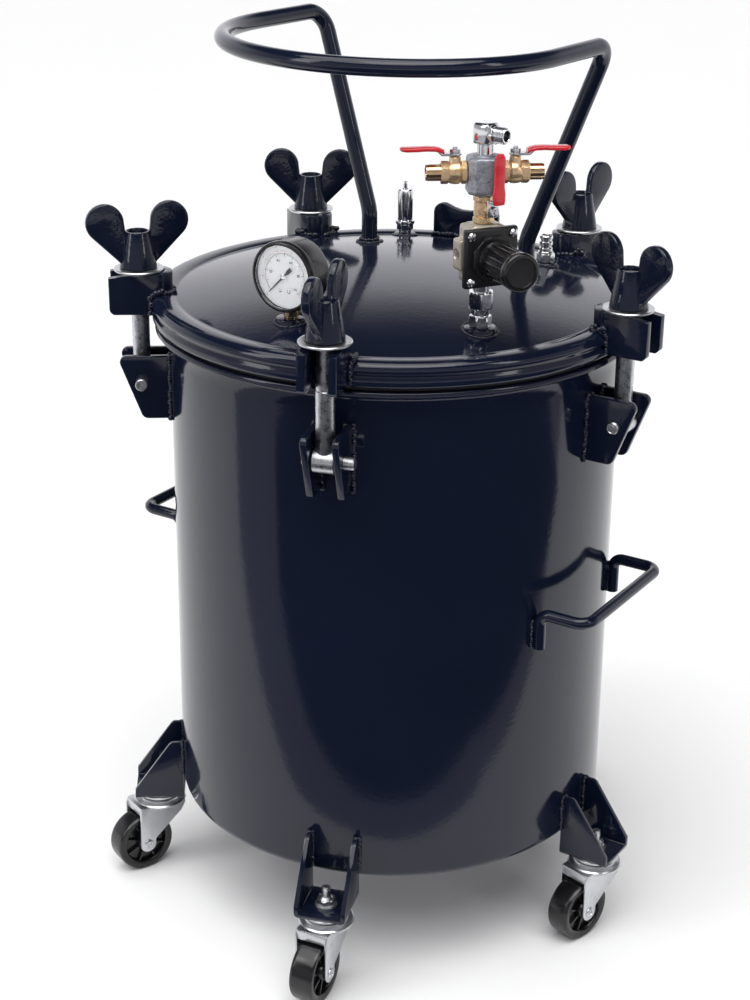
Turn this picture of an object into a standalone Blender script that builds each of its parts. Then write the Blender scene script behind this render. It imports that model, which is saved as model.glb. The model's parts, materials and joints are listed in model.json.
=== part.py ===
"""Resin pressure pot on casters: a 350 mm steel vessel, clamped lid and air fittings.

Metres, +Z up. The origin lies on the vessel's axis, on the floor the casters stand on.
The front is -Y. A clock angle is measured from the front, positive towards +X.
"""
import math

import bmesh
import bpy
from mathutils import Matrix, Vector

for old in list(bpy.data.objects):
    bpy.data.objects.remove(old, do_unlink=True)

MM = 0.001
GAP = 0.3

# ---- driving dimensions, millimetres and degrees ----
TANK_R = 175.0            # vessel outer radius
TANK_WALL = 3.5
TANK_H = 399.5            # from the vessel's underside to the top of its rim ring
RIM_LIP = 11.0            # how far the rim ring stands out of the wall
GASKET_T = 2.4
LID_FLANGE_H = 18.5       # height of the lid's edge band
LID_RISE = 18.5           # rise of the dome above the edge band
LID_SHELL = 4.0
SIDES = 50                # facets round the vessel and the lid

CLAMP_COUNT = 5
CLAMP_START = -86.0       # clock angle of the first clamp
AXIS_AT = (13.8, 3.55)    # vessel axis, from the middle of the standing outline
CLAMP_OUT = 21.8          # bolt circle outside the vessel wall
BOLT_D = 14.0
PIN_DROP = 48.5           # swing bolt's pivot below the rim
PIN_D = 10.0
EAR_T = 5.0
CLAW_RISE = 15.6          # top of the claw above the lid's edge band
CLAW_LIFT = 2.4           # underside of the claw above the lid's
CLAW_BAR = 6.0            # thickness of the bent claw strip
CLAW_BACK = 25.6          # from the bolt axis back to the bend
CLAW_FRONT = 22.5         # from the bolt axis out to the ends
WASHER_D = 38.0
WASHER_T = 2.0
NUT_H = 28.2
LOBE_R = 14.6
LOBE_X = 24.7
LOBE_Z = 35.4             # height of the lobe centres above the nut's base
LOBE_T = 6.0
WING_TURN = (14.0, -4.0, -20.0, 8.0, 66.0)

WHEEL_R = 25.0
WHEEL_W = 20.6
CASTER_OUT = 21.0         # caster stems outside the vessel wall
CASTER_TRAIL = 19.0
CASTER_HEADING = (-55.0, -25.0, -46.0, 128.0, 172.0)   # clock direction of each trail
BRACKET_T = 3.5
BRACKET_W = 40.4
BRACKET_REACH = 40.2      # bracket's outer edge outside the vessel wall
BRACKET_H = 53.2

SIDE_HANDLE_ANGLE = 58.0
SIDE_HANDLE_HALF = 61.7
SIDE_HANDLE_REACH = 32.2
SIDE_HANDLE_RISE = 212.4  # crossbar above the vessel's underside
SIDE_HANDLE_DROP = 28.2   # its feet below the crossbar
SIDE_ROD_R = 4.5

BOW_ANGLE = -36.0
BOW_ROD_R = 6.35
BOW_RISE = 189.9          # hoop above the lid's edge band
BOW_HALF = 134.0
BOW_REACH = 123.0
BOW_BACK = -77.0
BOW_FOOT = (-66.0, 75.5)

GAUGE_AT = (-34.78, 43.5)      # clock angle and inset from the vessel wall
GAUGE_FACE = -32.0
GAUGE_R = 26.0
GAUGE_RISE = 40.4
REG_AT = (26.0, 38.15)
REG_FACE = 25.0
REG_RISE = 39.7
REG_H = 43.7
LOW_VALVE_H = 19.6
MANIFOLD_H = 28.4
MANIFOLD_W = 24.8
RELIEF_AT = (177.46, 21.85)
RELIEF_RISE = 12.9
OUTLET_AT = (112.96, 46.84)
OUTLET_RISE = 17.4
LUG_ANGLE = 160.0
LUG_INSET = 3.0

# ---- sizes that follow from them ----
RIM_R = TANK_R + RIM_LIP
CLAMP_R = TANK_R + CLAMP_OUT
CASTER_R = TANK_R + CASTER_OUT
FORK_Z = 2 * WHEEL_R + 9.0
RACE_Z = FORK_Z + 5.5
BRACKET_Z = RACE_Z + 3.5
TANK_BOTTOM_Z = BRACKET_Z + 16.5
TANK_RIM_Z = TANK_BOTTOM_Z + TANK_H
PIN_Z = TANK_RIM_Z - PIN_DROP
LID_Z0 = TANK_RIM_Z + GASKET_T + 2 * GAP + 0.1
FLANGE_TOP = LID_Z0 + LID_FLANGE_H
LID_R = RIM_R + 2.0
DOME_R = TANK_R - 7.0
DOME_EDGE_Z = FLANGE_TOP - 1.0
EYE_D = PIN_D + 7.0
CLAW_SLOT = BOLT_D + 2.4
CLAW_TOP_Z = FLANGE_TOP + CLAW_RISE
CLAW_LOW_Z = LID_Z0 + CLAW_LIFT
WASHER_Z = CLAW_TOP_Z + GAP
NUT_Z = WASHER_Z + WASHER_T + GAP
NUT_BASE_R = BOLT_D / 2 + 7.2
NUT_TOP_R = BOLT_D / 2 + 2.4
GAUGE_Z = FLANGE_TOP + GAUGE_RISE
REG_Z0 = FLANGE_TOP + REG_RISE
REG_MID = REG_Z0 + REG_H / 2
LOW_STEM_Z = REG_Z0 + REG_H + 10.0
MANIFOLD_Z0 = REG_Z0 + REG_H + LOW_VALVE_H
MANIFOLD_Z1 = MANIFOLD_Z0 + MANIFOLD_H
BRANCH_Z = MANIFOLD_Z0 + 15.9
BOW_Z = FLANGE_TOP + BOW_RISE

parts = bpy.data.collections.new("resin_pressure_pot")
cutters = bpy.data.collections.new("cutters")
bpy.context.scene.collection.children.link(parts)
bpy.context.scene.collection.children.link(cutters)


# ---- materials ----
def material(name, colour, roughness, metallic):
    mat = bpy.data.materials.new(name)
    mat.use_nodes = True
    shader = mat.node_tree.nodes["Principled BSDF"]
    shader.inputs["Base Color"].default_value = (*colour, 1.0)
    shader.inputs["Roughness"].default_value = roughness
    shader.inputs["Metallic"].default_value = metallic
    return mat


LOOKS = {
    "navy": ((0.006, 0.010, 0.022), 0.22, 0.0),
    "zinc": ((0.62, 0.63, 0.65), 0.30, 1.0),
    "chrome": ((0.75, 0.76, 0.78), 0.10, 1.0),
    "brass": ((0.58, 0.36, 0.13), 0.28, 1.0),
    "red": ((0.55, 0.004, 0.012), 0.35, 0.0),
    "black": ((0.008, 0.008, 0.009), 0.35, 0.0),
    "rubber": ((0.015, 0.015, 0.016), 0.60, 0.0),
    "beige": ((0.33, 0.30, 0.26), 0.40, 0.2),
    "white": ((0.80, 0.80, 0.80), 0.50, 0.0),
    "clear": ((0.90, 0.93, 0.95), 0.05, 0.0),
}


# ---- building helpers (arguments in millimetres) ----
def turn_to(clock):
    """Rotation that carries local +X to the horizontal direction at a clock angle."""
    return Matrix.Rotation(math.radians(clock - 90.0), 4, "Z")


def shift(x, y, z):
    return Matrix.Translation(Vector((x, y, z)) * MM)


def holder(mesh, name="piece"):
    obj = bpy.data.objects.new(name, mesh)
    cutters.objects.link(obj)
    obj.hide_render = True
    obj.display_type = "WIRE"
    return obj


def from_bmesh(bm, name):
    bmesh.ops.recalc_face_normals(bm, faces=bm.faces)
    mesh = bpy.data.meshes.new(name)
    bm.to_mesh(mesh)
    bm.free()
    return holder(mesh, name)


def block(x0, x1, y0, y1, z0, z1, bevel=0.0):
    bm = bmesh.new()
    size = Vector((x1 - x0, y1 - y0, z1 - z0)) * MM
    centre = Vector((x0 + x1, y0 + y1, z0 + z1)) * MM / 2
    bmesh.ops.create_cube(bm, size=1.0, matrix=Matrix.Translation(centre) @ Matrix.Diagonal((*size, 1.0)))
    if bevel:
        bmesh.ops.bevel(bm, geom=list(bm.edges), offset=bevel * MM, segments=1, affect="EDGES")
    return from_bmesh(bm, "block")


def rod(p0, p1, r0, r1=None, sides=12, turn=0.0):
    """Cylinder or cone from p0 to p1."""
    r1 = r0 if r1 is None else r1
    a = Vector(p0) * MM
    b = Vector(p1) * MM
    axis = b - a
    aim = axis.to_track_quat("Z", "Y").to_matrix().to_4x4()
    place = Matrix.Translation((a + b) / 2) @ aim @ Matrix.Rotation(math.radians(turn), 4, "Z")
    bm = bmesh.new()
    bmesh.ops.create_cone(bm, cap_ends=True, segments=sides, radius1=r0 * MM, radius2=r1 * MM,
                          depth=axis.length, matrix=place)
    return from_bmesh(bm, "rod")


def turned(points, sides, closed=False):
    """Solid of revolution about Z from (radius, height) points; the outer side runs down."""
    mesh = bpy.data.meshes.new("profile")
    verts = [(r * MM, 0.0, z * MM) for r, z in points]
    edges = [(i, i + 1) for i in range(len(points) - 1)]
    if closed:
        edges.append((len(points) - 1, 0))
    mesh.from_pydata(verts, edges, [])
    obj = holder(mesh, "turned")
    screw = obj.modifiers.new("turn", "SCREW")
    screw.steps = sides
    screw.render_steps = sides
    screw.use_merge_vertices = True
    screw.merge_threshold = 0.00001
    screw.use_normal_calculate = False
    return obj


def welded(obj):
    """Evaluated mesh of an object, with coincident points merged, in world space."""
    bpy.context.view_layer.update()
    graph = bpy.context.evaluated_depsgraph_get()
    mesh = bpy.data.meshes.new_from_object(obj.evaluated_get(graph))
    mesh.transform(obj.matrix_world)
    bm = bmesh.new()
    bm.from_mesh(mesh)
    bmesh.ops.remove_doubles(bm, verts=bm.verts, dist=0.000004)
    bm.to_mesh(mesh)
    bm.free()
    return mesh


def drop(obj):
    bpy.data.objects.remove(obj, do_unlink=True)


def outline(points, thickness, place=None):
    """Flat plate: an outline in its XY plane, centred on its thickness."""
    curve = bpy.data.curves.new("outline", "CURVE")
    curve.dimensions = "2D"
    curve.fill_mode = "BOTH"
    curve.extrude = thickness * MM / 2
    spline = curve.splines.new("POLY")
    spline.points.add(len(points) - 1)
    for point, (x, y) in zip(spline.points, points):
        point.co = (x * MM, y * MM, 0.0, 1.0)
    spline.use_cyclic_u = True
    obj = holder(curve, "outline")
    if place is not None:
        obj.matrix_world = place
    mesh = welded(obj)
    drop(obj)
    return holder(mesh, "plate")


def wire(points, radius, resolution=3, cyclic=False):
    """Round bar along a polyline."""
    curve = bpy.data.curves.new("wire", "CURVE")
    curve.dimensions = "3D"
    curve.bevel_depth = radius * MM
    curve.bevel_resolution = resolution
    curve.use_fill_caps = True
    spline = curve.splines.new("POLY")
    spline.points.add(len(points) - 1)
    for point, co in zip(spline.points, points):
        point.co = (co[0] * MM, co[1] * MM, co[2] * MM, 1.0)
    spline.use_cyclic_u = cyclic
    obj = holder(curve, "wire")
    mesh = welded(obj)
    drop(obj)
    return holder(mesh, "bar")


def combine(base, add=(), cut=(), keep=()):
    """One closed mesh: base joined with add, less cut, inside keep."""
    for others, operation in ((add, "UNION"), (cut, "DIFFERENCE"), (keep, "INTERSECT")):
        for other in others:
            step = base.modifiers.new("join", "BOOLEAN")
            step.operation = operation
            step.solver = "EXACT"
            step.object = other
    mesh = welded(base)
    for obj in (base, *add, *cut, *keep):
        drop(obj)
    return mesh


def node(name, mesh, look, place=None, sharp=35.0):
    obj = bpy.data.objects.new(name, mesh)
    parts.objects.link(obj)
    about = shift(*AXIS_AT, 0.0)
    obj.matrix_world = about if place is None else about @ place
    mesh.materials.clear()
    mesh.materials.append(material(name, *LOOKS[look]))
    mesh.shade_smooth()
    mesh.set_sharp_from_angle(angle=math.radians(sharp))
    return obj


def lowered(mesh, origin):
    """Moves a mesh so that the given point becomes its own origin."""
    mesh.transform(Matrix.Translation(-Vector(origin) * MM))
    return mesh


def rounded(points, radii, steps=4):
    """Polyline through the points with each inner corner turned as an arc."""
    pts = [Vector(p) for p in points]
    out = [pts[0]]
    for i in range(1, len(pts) - 1):
        a = (pts[i - 1] - pts[i]).normalized()
        b = (pts[i + 1] - pts[i]).normalized()
        half = a.angle(b) / 2
        reach = radii[i - 1] / math.tan(half)
        centre = pts[i] + (a + b).normalized() * (radii[i - 1] / math.sin(half))
        start = pts[i] + a * reach - centre
        end = pts[i] + b * reach - centre
        sweep = start.angle(end)
        for k in range(steps + 1):
            t = k / steps
            s = math.sin(sweep)
            point = start * (math.sin((1 - t) * sweep) / s) + end * (math.sin(t * sweep) / s)
            out.append(centre + point)
    out.append(pts[-1])
    return out


def arc(cx, cy, r, a0, a1, steps):
    """Points on an arc between two angles in degrees."""
    out = []
    for k in range(steps + 1):
        a = math.radians(a0 + (a1 - a0) * k / steps)
        out.append((cx + r * math.cos(a), cy + r * math.sin(a)))
    return out


STAND = Matrix.Rotation(math.radians(90.0), 4, "X")     # plate's XY plane becomes XZ


def ear_place(y):
    return shift(0.0, y, 0.0) @ STAND


# ---- vessel ----
def vessel():
    inner = TANK_R - TANK_WALL
    floor = TANK_BOTTOM_Z + TANK_WALL
    points = [(0.0, floor), (inner - 6.0, floor), (inner, floor + 6.0), (inner, TANK_RIM_Z),
              (RIM_R, TANK_RIM_Z), (RIM_R, TANK_RIM_Z - 5.0), (TANK_R, TANK_RIM_Z - 8.5),
              (TANK_R, TANK_BOTTOM_Z + 7.0), (TANK_R - 7.0, TANK_BOTTOM_Z), (0.0, TANK_BOTTOM_Z)]
    return combine(turned(points, SIDES))


def gasket():
    z0 = TANK_RIM_Z + GAP
    r0 = TANK_R - TANK_WALL + 1.0
    r1 = RIM_R - 3.0
    return combine(turned([(r0, z0 + GASKET_T), (r1, z0 + GASKET_T), (r1, z0), (r0, z0)], SIDES, closed=True))


# ---- lid ----
def dome_z(r):
    return DOME_EDGE_Z + LID_RISE * (1.0 - (r / DOME_R) ** 2)


def claw(clock):
    """Bent strip that stands on the lid's edge with its open slot facing out."""
    outer = CLAW_SLOT / 2 + CLAW_BAR
    bend = CLAMP_R - CLAW_BACK + outer
    tip = CLAMP_R + CLAW_FRONT
    plan = [(tip, outer)] + arc(bend, 0.0, outer, 90.0, 270.0, 6)
    plan += [(tip, -outer), (tip, -CLAW_SLOT / 2)]
    plan += arc(bend, 0.0, CLAW_SLOT / 2, 270.0, 90.0, 6)
    plan += [(tip, CLAW_SLOT / 2)]
    low = CLAW_LOW_Z
    tall = CLAW_TOP_Z - low
    prism = outline(plan, tall + 10.0, shift(0.0, 0.0, low + tall / 2))
    swing = CLAW_TOP_Z - PIN_Z
    side = [(bend - outer - 5.0, low), (tip - 5.0, low)] + arc(tip - 5.0, low + 5.0, 5.0, -60.0, 0.0, 2)
    side += [(tip, PIN_Z + math.sqrt(swing ** 2 - CLAW_FRONT ** 2) - 3.0)]
    for x in (18.0, 9.0, 0.0):
        side.append((CLAMP_R + x, PIN_Z + math.sqrt(swing ** 2 - x ** 2) - 0.02 * x))
    side.append((bend - outer - 5.0, CLAW_TOP_Z))
    profile = outline(side, 60.0, ear_place(0.0))
    mesh = combine(prism, keep=(profile,))
    mesh.transform(turn_to(clock))
    return holder(mesh, "claw")


def pad(x, y, r, sides=12):
    dist = math.hypot(x, y)
    top = dome_z(max(dist - r, 0.0)) + 0.6
    return rod((x, y, dome_z(dist + r) - 2.0), (x, y, top), r, sides=sides), top


def bow_point(u, v, z):
    p = turn_to(BOW_ANGLE) @ Vector((u, v, z))
    return (p.x, p.y, p.z)


def on_lid(clock, inset):
    p = turn_to(clock) @ Vector((TANK_R - inset, 0.0, 0.0))
    return (p.x, p.y)


GAUGE_XY = on_lid(*GAUGE_AT)
REG_XY = on_lid(*REG_AT)
RELIEF_XY = on_lid(*RELIEF_AT)
OUTLET_XY = on_lid(*OUTLET_AT)


PADS = {
    "gauge": (*GAUGE_XY, 11.0),
    "union": (*REG_XY, 12.0),
    "relief": (*RELIEF_XY, 9.0),
    "outlet": (*OUTLET_XY, 9.0),
    "bow_l": (*bow_point(BOW_FOOT[0], -BOW_FOOT[1], 0.0)[:2], 9.5),
    "bow_r": (*bow_point(BOW_FOOT[0], BOW_FOOT[1], 0.0)[:2], 9.5),
}
PAD_TOP = {}


def lug():
    half = 28.5
    top = 27.0
    pts = [(-half, -14.0), (half, -14.0)]
    pts += arc(half - 8.5, top - 8.5, 8.5, 0.0, 110.0, 3)
    pts += [(8.0, top - 4.5), (-8.0, top - 4.5)]
    pts += arc(-half + 8.5, top - 8.5, 8.5, 70.0, 180.0, 3)
    place = turn_to(LUG_ANGLE) @ shift(TANK_R - LUG_INSET, 0.0, FLANGE_TOP)
    return outline(pts, 6.0, place @ Matrix.Rotation(math.radians(90.0), 4, "Z") @ STAND)


def lid():
    z0 = LID_Z0
    top = FLANGE_TOP
    under = DOME_R - 5.0
    points = [(0.0, dome_z(0.0))]
    points += [(DOME_R * share, dome_z(DOME_R * share)) for share in (0.36, 0.63, 0.83, 1.0)]
    points += [(DOME_R + 3.0, top), (LID_R - 5.0, top), (LID_R, top - 5.0), (LID_R, z0 + 3.0),
               (LID_R - 2.5, z0), (under, z0)]
    points += [(r, dome_z(r) - LID_SHELL) for r in (DOME_R - 13.0, DOME_R * 0.54)]
    points += [(0.0, dome_z(0.0) - LID_SHELL)]
    joined = [claw(CLAMP_START + 72.0 * k) for k in range(CLAMP_COUNT)]
    for key, (x, y, r) in PADS.items():
        boss, height = pad(x, y, r)
        PAD_TOP[key] = height
        joined.append(boss)
    joined.append(lug())
    return combine(turned(points, SIDES), add=joined)


# ---- clamps ----
def clevis():
    """Two ears and the pin they carry."""
    inner = BOLT_D / 2 + 2.0
    t = EAR_T
    root = TANK_R + GAP
    top = PIN_Z + 21.1
    low = PIN_Z - 29.6
    pts = [(root, low), (CLAMP_R - 3.0, low)] + [(CLAMP_R + 1.2, low + 2.5)]
    pts += arc(CLAMP_R + 11.6, top - 5.0, 5.0, -22.0, 90.0, 3)
    pts += [(root, top)]
    ears = [outline(pts, t, ear_place(s * (inner + t / 2))) for s in (-1.0, 1.0)]
    pin = rod((CLAMP_R, -inner - t - 2.5, PIN_Z), (CLAMP_R, inner + t + 7.5, PIN_Z), PIN_D / 2)
    return lowered(combine(pin, add=ears), (CLAMP_R, 0.0, PIN_Z))


def swing_bolt():
    wide = BOLT_D / 2 + 1.7
    eye = rod((0.0, -wide, 0.0), (0.0, wide, 0.0), EYE_D / 2)
    shank = rod((0.0, 0.0, 5.0), (0.0, 0.0, NUT_Z + NUT_H - 3.0 - PIN_Z), BOLT_D / 2)
    bore = rod((0.0, -wide - 1.0, 0.0), (0.0, wide + 1.0, 0.0), PIN_D / 2 + GAP)
    return combine(eye, add=(shank,), cut=(bore,))


def washer():
    hole = BOLT_D / 2 + 0.45
    points = [(hole, WASHER_T), (WASHER_D / 2, WASHER_T), (WASHER_D / 2, 0.0), (hole, 0.0)]
    return combine(turned(points, 16, closed=True))


def wing_nut():
    boss = rod((0.0, 0.0, 0.0), (0.0, 0.0, NUT_H), NUT_BASE_R, NUT_TOP_R, sides=14)
    c = math.sqrt(0.5) * LOBE_R
    wings = []
    for s in (-1.0, 1.0):
        foot = LOBE_X + c - (LOBE_Z - c - 2.0)
        pts = [(4.0, 2.0), (foot, 2.0)] + arc(LOBE_X, LOBE_Z, LOBE_R, -45.0, 180.0, 7)
        pts += [(NUT_TOP_R - 0.4, NUT_H - 3.0), (4.0, NUT_H - 6.0)]
        pts = [(s * x, z) for x, z in pts]
        wings.append(outline(pts, LOBE_T, ear_place(0.0)))
    bore = rod((0.0, 0.0, -1.0), (0.0, 0.0, NUT_H + 2.0), BOLT_D / 2 + 0.45)
    return combine(boss, add=wings, cut=(bore,))


# ---- casters ----
def bracket():
    half = BRACKET_W / 2
    z0 = BRACKET_Z
    out = TANK_R + BRACKET_REACH
    top = z0 + BRACKET_H
    base = block(TANK_R - 1.0, out, -half, half, z0, z0 + BRACKET_T)
    root = TANK_R - 0.4
    side = [(TANK_R - 1.0, z0), (out, z0), (out, z0 + 9.9), (TANK_R + 9.4, top),
            (root, top), (root, z0 + 14.0), (TANK_R - 1.0, z0 + 12.0)]
    sides = [outline(side, BRACKET_T, ear_place(s * (half - BRACKET_T / 2))) for s in (-1.0, 1.0)]
    x = CASTER_R
    nut = rod((x, 0.0, z0 + 2.0), (x, 0.0, z0 + BRACKET_T + 6.5), 7.5, sides=6)
    race = rod((x, 0.0, RACE_Z), (x, 0.0, z0 + 1.0), 18.0, sides=14)
    stem = rod((x, 0.0, FORK_Z - 4.0), (x, 0.0, z0 + BRACKET_T + 16.0), 4.0, sides=8)
    head = rod((x, 0.0, FORK_Z - 6.0), (x, 0.0, FORK_Z - 3.0), 7.0, sides=8)
    return combine(base, add=(*sides, nut, race, stem, head))


def fork():
    """Origin on the swivel axis at floor level; +X is the way the wheel trails."""
    x = CASTER_TRAIL
    inner = WHEEL_W / 2 + 1.3
    t = 2.0
    top = RACE_Z - GAP
    plate = rod((0.0, 0.0, FORK_Z), (0.0, 0.0, FORK_Z + 2.5), 22.0, sides=16)
    race = rod((0.0, 0.0, FORK_Z + 1.0), (0.0, 0.0, top), 17.0)
    roof = block(0.0, x + 6.0, -inner - t, inner + t, FORK_Z, FORK_Z + 2.0)
    leg = [(-16.5, FORK_Z + 1.5), (-16.5, FORK_Z - 7.0), (x - 5.5, WHEEL_R - 4.0)]
    leg += arc(x, WHEEL_R, 6.5, -120.0, 0.0, 3)
    leg += [(x + 6.0, FORK_Z + 1.5)]
    legs = [outline(leg, t, ear_place(s * (inner + t / 2))) for s in (-1.0, 1.0)]
    axle = rod((x, -inner - t - 1.5, WHEEL_R), (x, inner + t + 1.5, WHEEL_R), 3.0, sides=8)
    hole = rod((0.0, 0.0, FORK_Z - 5.0), (0.0, 0.0, top + 5.0), 4.0 + 0.8, sides=8)
    return combine(plate, add=(race, roof, *legs, axle), cut=(hole,))


def wheel():
    """Turned about Z, then laid on its side so that its axle runs along Y."""
    h = WHEEL_W / 2
    r = WHEEL_R
    bore = 3.0 + 0.5
    half = [(bore, h), (r - 5.5, h - 2.0), (r - 1.5, h - 0.4), (r, h - 2.0)]
    points = half + [(x, -z) for x, z in reversed(half)]
    mesh = combine(turned(points, 24, closed=True))
    mesh.transform(Matrix.Rotation(math.radians(90.0), 4, "X"))
    return mesh


# ---- handles ----
def side_handle():
    reach = TANK_R + SIDE_ROD_R + GAP
    foot = math.sqrt(reach ** 2 - SIDE_HANDLE_HALF ** 2)
    h = SIDE_HANDLE_HALF
    out = TANK_R + SIDE_HANDLE_REACH
    top = TANK_BOTTOM_Z + SIDE_HANDLE_RISE
    low = top - SIDE_HANDLE_DROP
    pts = [(foot, -h, low), (foot, -h, top), (out, -h, top), (out, h, top), (foot, h, top), (foot, h, low)]
    return combine(wire(rounded(pts, (8.0, 11.0, 11.0, 8.0), 3), SIDE_ROD_R, 2))


def bow_handle():
    foot_u, foot_v = BOW_FOOT
    z0 = PAD_TOP["bow_l"] + GAP
    half = []
    for k in range(0, 10):
        a = math.radians(90.0 * k / 9)
        half.append((BOW_REACH * math.sin(a), BOW_HALF * math.cos(a), BOW_Z))
    right = [(foot_u, foot_v, z0), (foot_u, foot_v, z0 + 24.0), (BOW_BACK, BOW_HALF - 2.0, BOW_Z),
             (-20.0, BOW_HALF + 0.6, BOW_Z)]
    right = [tuple(p) for p in rounded(right, (34.0, 17.0), 4)][:-1] + half
    left = [(u, -v, z) for u, v, z in reversed(right[:-1])]
    return combine(wire([bow_point(*p) for p in right + left], BOW_ROD_R, 2))


# ---- gauge (local frame: +X out of the dial) ----
GAUGE_BACK = -14.0
GAUGE_FRONT = 12.0
DIAL_R = 23.2


def gauge_case():
    case = rod((GAUGE_BACK, 0.0, 0.0), (GAUGE_FRONT, 0.0, 0.0), GAUGE_R, sides=24)
    dish = rod((GAUGE_FRONT - 5.0, 0.0, 0.0), (GAUGE_FRONT + 2.0, 0.0, 0.0), DIAL_R, sides=24)
    low = PAD_TOP["gauge"] + GAP - GAUGE_Z
    stem = rod((0.0, 0.0, low), (0.0, 0.0, -GAUGE_R + 3.0), 6.5, sides=6)
    post = rod((GAUGE_FRONT - 6.0, 0.0, 0.0), (GAUGE_FRONT - 3.6, 0.0, 0.0), 0.9, sides=8)
    return combine(case, add=(stem,), cut=(dish,)), post


def gauge_pointer():
    """Pivots about +X; the long end rests at the start of the scale."""
    blade = [(-0.9, 9.0), (-0.9, 2.0), (-0.8, -15.5), (0.0, -17.5), (0.8, -15.5), (0.9, 2.0), (0.9, 9.0)]
    blade = [(1.6 * x if y > 0 else x, y) for x, y in blade]
    stand = Matrix.Rotation(math.radians(90.0), 4, "Z") @ STAND
    plate = outline(blade, 0.6, stand)
    hub = rod((-0.7, 0.0, 0.0), (0.9, 0.0, 0.0), 2.2)
    bore = rod((-2.0, 0.0, 0.0), (-0.1, 0.0, 0.0), 1.2, sides=8)
    mesh = combine(plate, add=(hub,), cut=(bore,))
    mesh.transform(Matrix.Rotation(math.radians(-45.0), 4, "X"))
    return mesh


def gauge_lens():
    return combine(rod((GAUGE_FRONT - 1.7, 0.0, 0.0), (GAUGE_FRONT - 0.5, 0.0, 0.0), DIAL_R - GAP, sides=24))


# ---- air fittings (local frames on their own axes) ----
KNOB_AT = 18.5
KNOB_END = 58.0


def union_fitting():
    z = PAD_TOP["union"] + GAP
    low = rod((0.0, 0.0, z), (0.0, 0.0, REG_Z0 - 17.3), 7.9, sides=6)
    nut = rod((0.0, 0.0, REG_Z0 - 17.8), (0.0, 0.0, REG_Z0 - 4.8), 9.4, sides=6)
    neck = rod((0.0, 0.0, REG_Z0 - 5.3), (0.0, 0.0, REG_Z0 - GAP), 6.6)
    return combine(low, add=(nut, neck))


def regulator_body():
    z1 = REG_Z0 + REG_H
    core = block(-10.0, 8.5, -14.0, 14.0, REG_Z0, z1, 1.5)
    plate = block(8.0, 14.5, -20.5, 20.5, REG_Z0, z1 - 0.3, 1.0)
    dome = rod((14.0, 0.0, REG_MID), (KNOB_AT - GAP, 0.0, REG_MID), 16.5, 14.0, sides=8, turn=22.5)
    ports = [block(-9.0, 3.0, s * 14.5 - 4.5, s * 14.5 + 4.5, REG_MID - 11.0, REG_MID + 11.0, 1.0)
             for s in (-1.0, 1.0)]
    holes = [rod((-3.0, s * 26.0, REG_MID), (-3.0, s * 12.5, REG_MID), 4.2) for s in (-1.0, 1.0)]
    return combine(core, add=(plate, dome, *ports), cut=holes)


def regulator_knob():
    return combine(rod((KNOB_AT, 0.0, 0.0), (KNOB_END, 0.0, 0.0), 12.8, 13.8, sides=16))


LOW_VALVE_FACE = 33.0
BRANCH_FACE = 98.0
STEM_OUT = MANIFOLD_W / 2 + 8.6


def low_valve():
    """Vertical ball valve; its stem points along +X."""
    z0 = REG_Z0 + REG_H + GAP
    z1 = MANIFOLD_Z0 - GAP
    body = rod((0.0, 0.0, z0), (0.0, 0.0, z1), 6.3)
    waist = rod((0.0, 0.0, z0 + 3.5), (0.0, 0.0, z1 - 3.5), 7.6, sides=8)
    stem = rod((0.0, 0.0, LOW_STEM_Z), (9.6, 0.0, LOW_STEM_Z), 3.6)
    return combine(body, add=(waist, stem))


def low_lever():
    """Turns about +X through its origin; the grip runs up."""
    grip = [(-4.5, 6.0), (4.5, 6.0), (5.0, 22.0), (4.4, 38.0), (0.0, 42.0), (-4.4, 38.0), (-5.0, 22.0)]
    yoke = [(-4.5, -5.0), (4.5, -5.0), (4.5, 8.0), (-4.5, 8.0)]
    side = Matrix.Rotation(math.radians(90.0), 4, "Z") @ STAND
    a = outline(yoke, 2.0, shift(10.9, 0.0, 0.0) @ side)
    b = outline(grip, 3.2, shift(17.9, 0.0, 0.0) @ side)
    link = block(9.9, 19.5, -4.0, 4.0, 5.5, 8.0)
    nut = rod((11.0, 0.0, 0.0), (14.5, 0.0, 0.0), 3.6, sides=6)
    return combine(a, add=(b, link, nut))


def branch_valve(s):
    """Ball valve along +X or -X from the manifold, with its stem up."""
    near = MANIFOLD_W / 2 + 0.4
    body = rod((s * near, 0.0, 0.0), (s * (near + 18.2), 0.0, 0.0), 8.2)
    end = rod((s * (near + 17.2), 0.0, 0.0), (s * (near + 28.2), 0.0, 0.0), 5.8)
    stem = rod((s * STEM_OUT, 0.0, 0.0), (s * STEM_OUT, 0.0, 11.6), 3.4)
    bore = rod((s * (near + 19.2), 0.0, 0.0), (s * (near + 32.2), 0.0, 0.0), 3.6)
    return combine(body, add=(end, stem), cut=(bore,))


def branch_lever(s):
    """Turns about Z through its origin; the grip runs along +X or -X."""
    yoke = block(min(-5.0, s * 9.0), max(5.0, s * 9.0), -4.5, 4.5, 11.9, 13.7)
    rise = block(min(s * 6.0, s * 9.5), max(s * 6.0, s * 9.5), -4.0, 4.0, 12.2, 17.5)
    grip = block(min(s * 6.5, s * 38.0), max(s * 6.5, s * 38.0), -4.6, 4.6, 14.9, 18.1)
    nut = rod((0.0, 0.0, 13.0), (0.0, 0.0, 17.0), 3.4, sides=6)
    return combine(yoke, add=(rise, grip, nut))


def manifold():
    half = MANIFOLD_W / 2
    return combine(block(-half, half, -half, half, MANIFOLD_Z0, MANIFOLD_Z1, 2.5))


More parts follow.
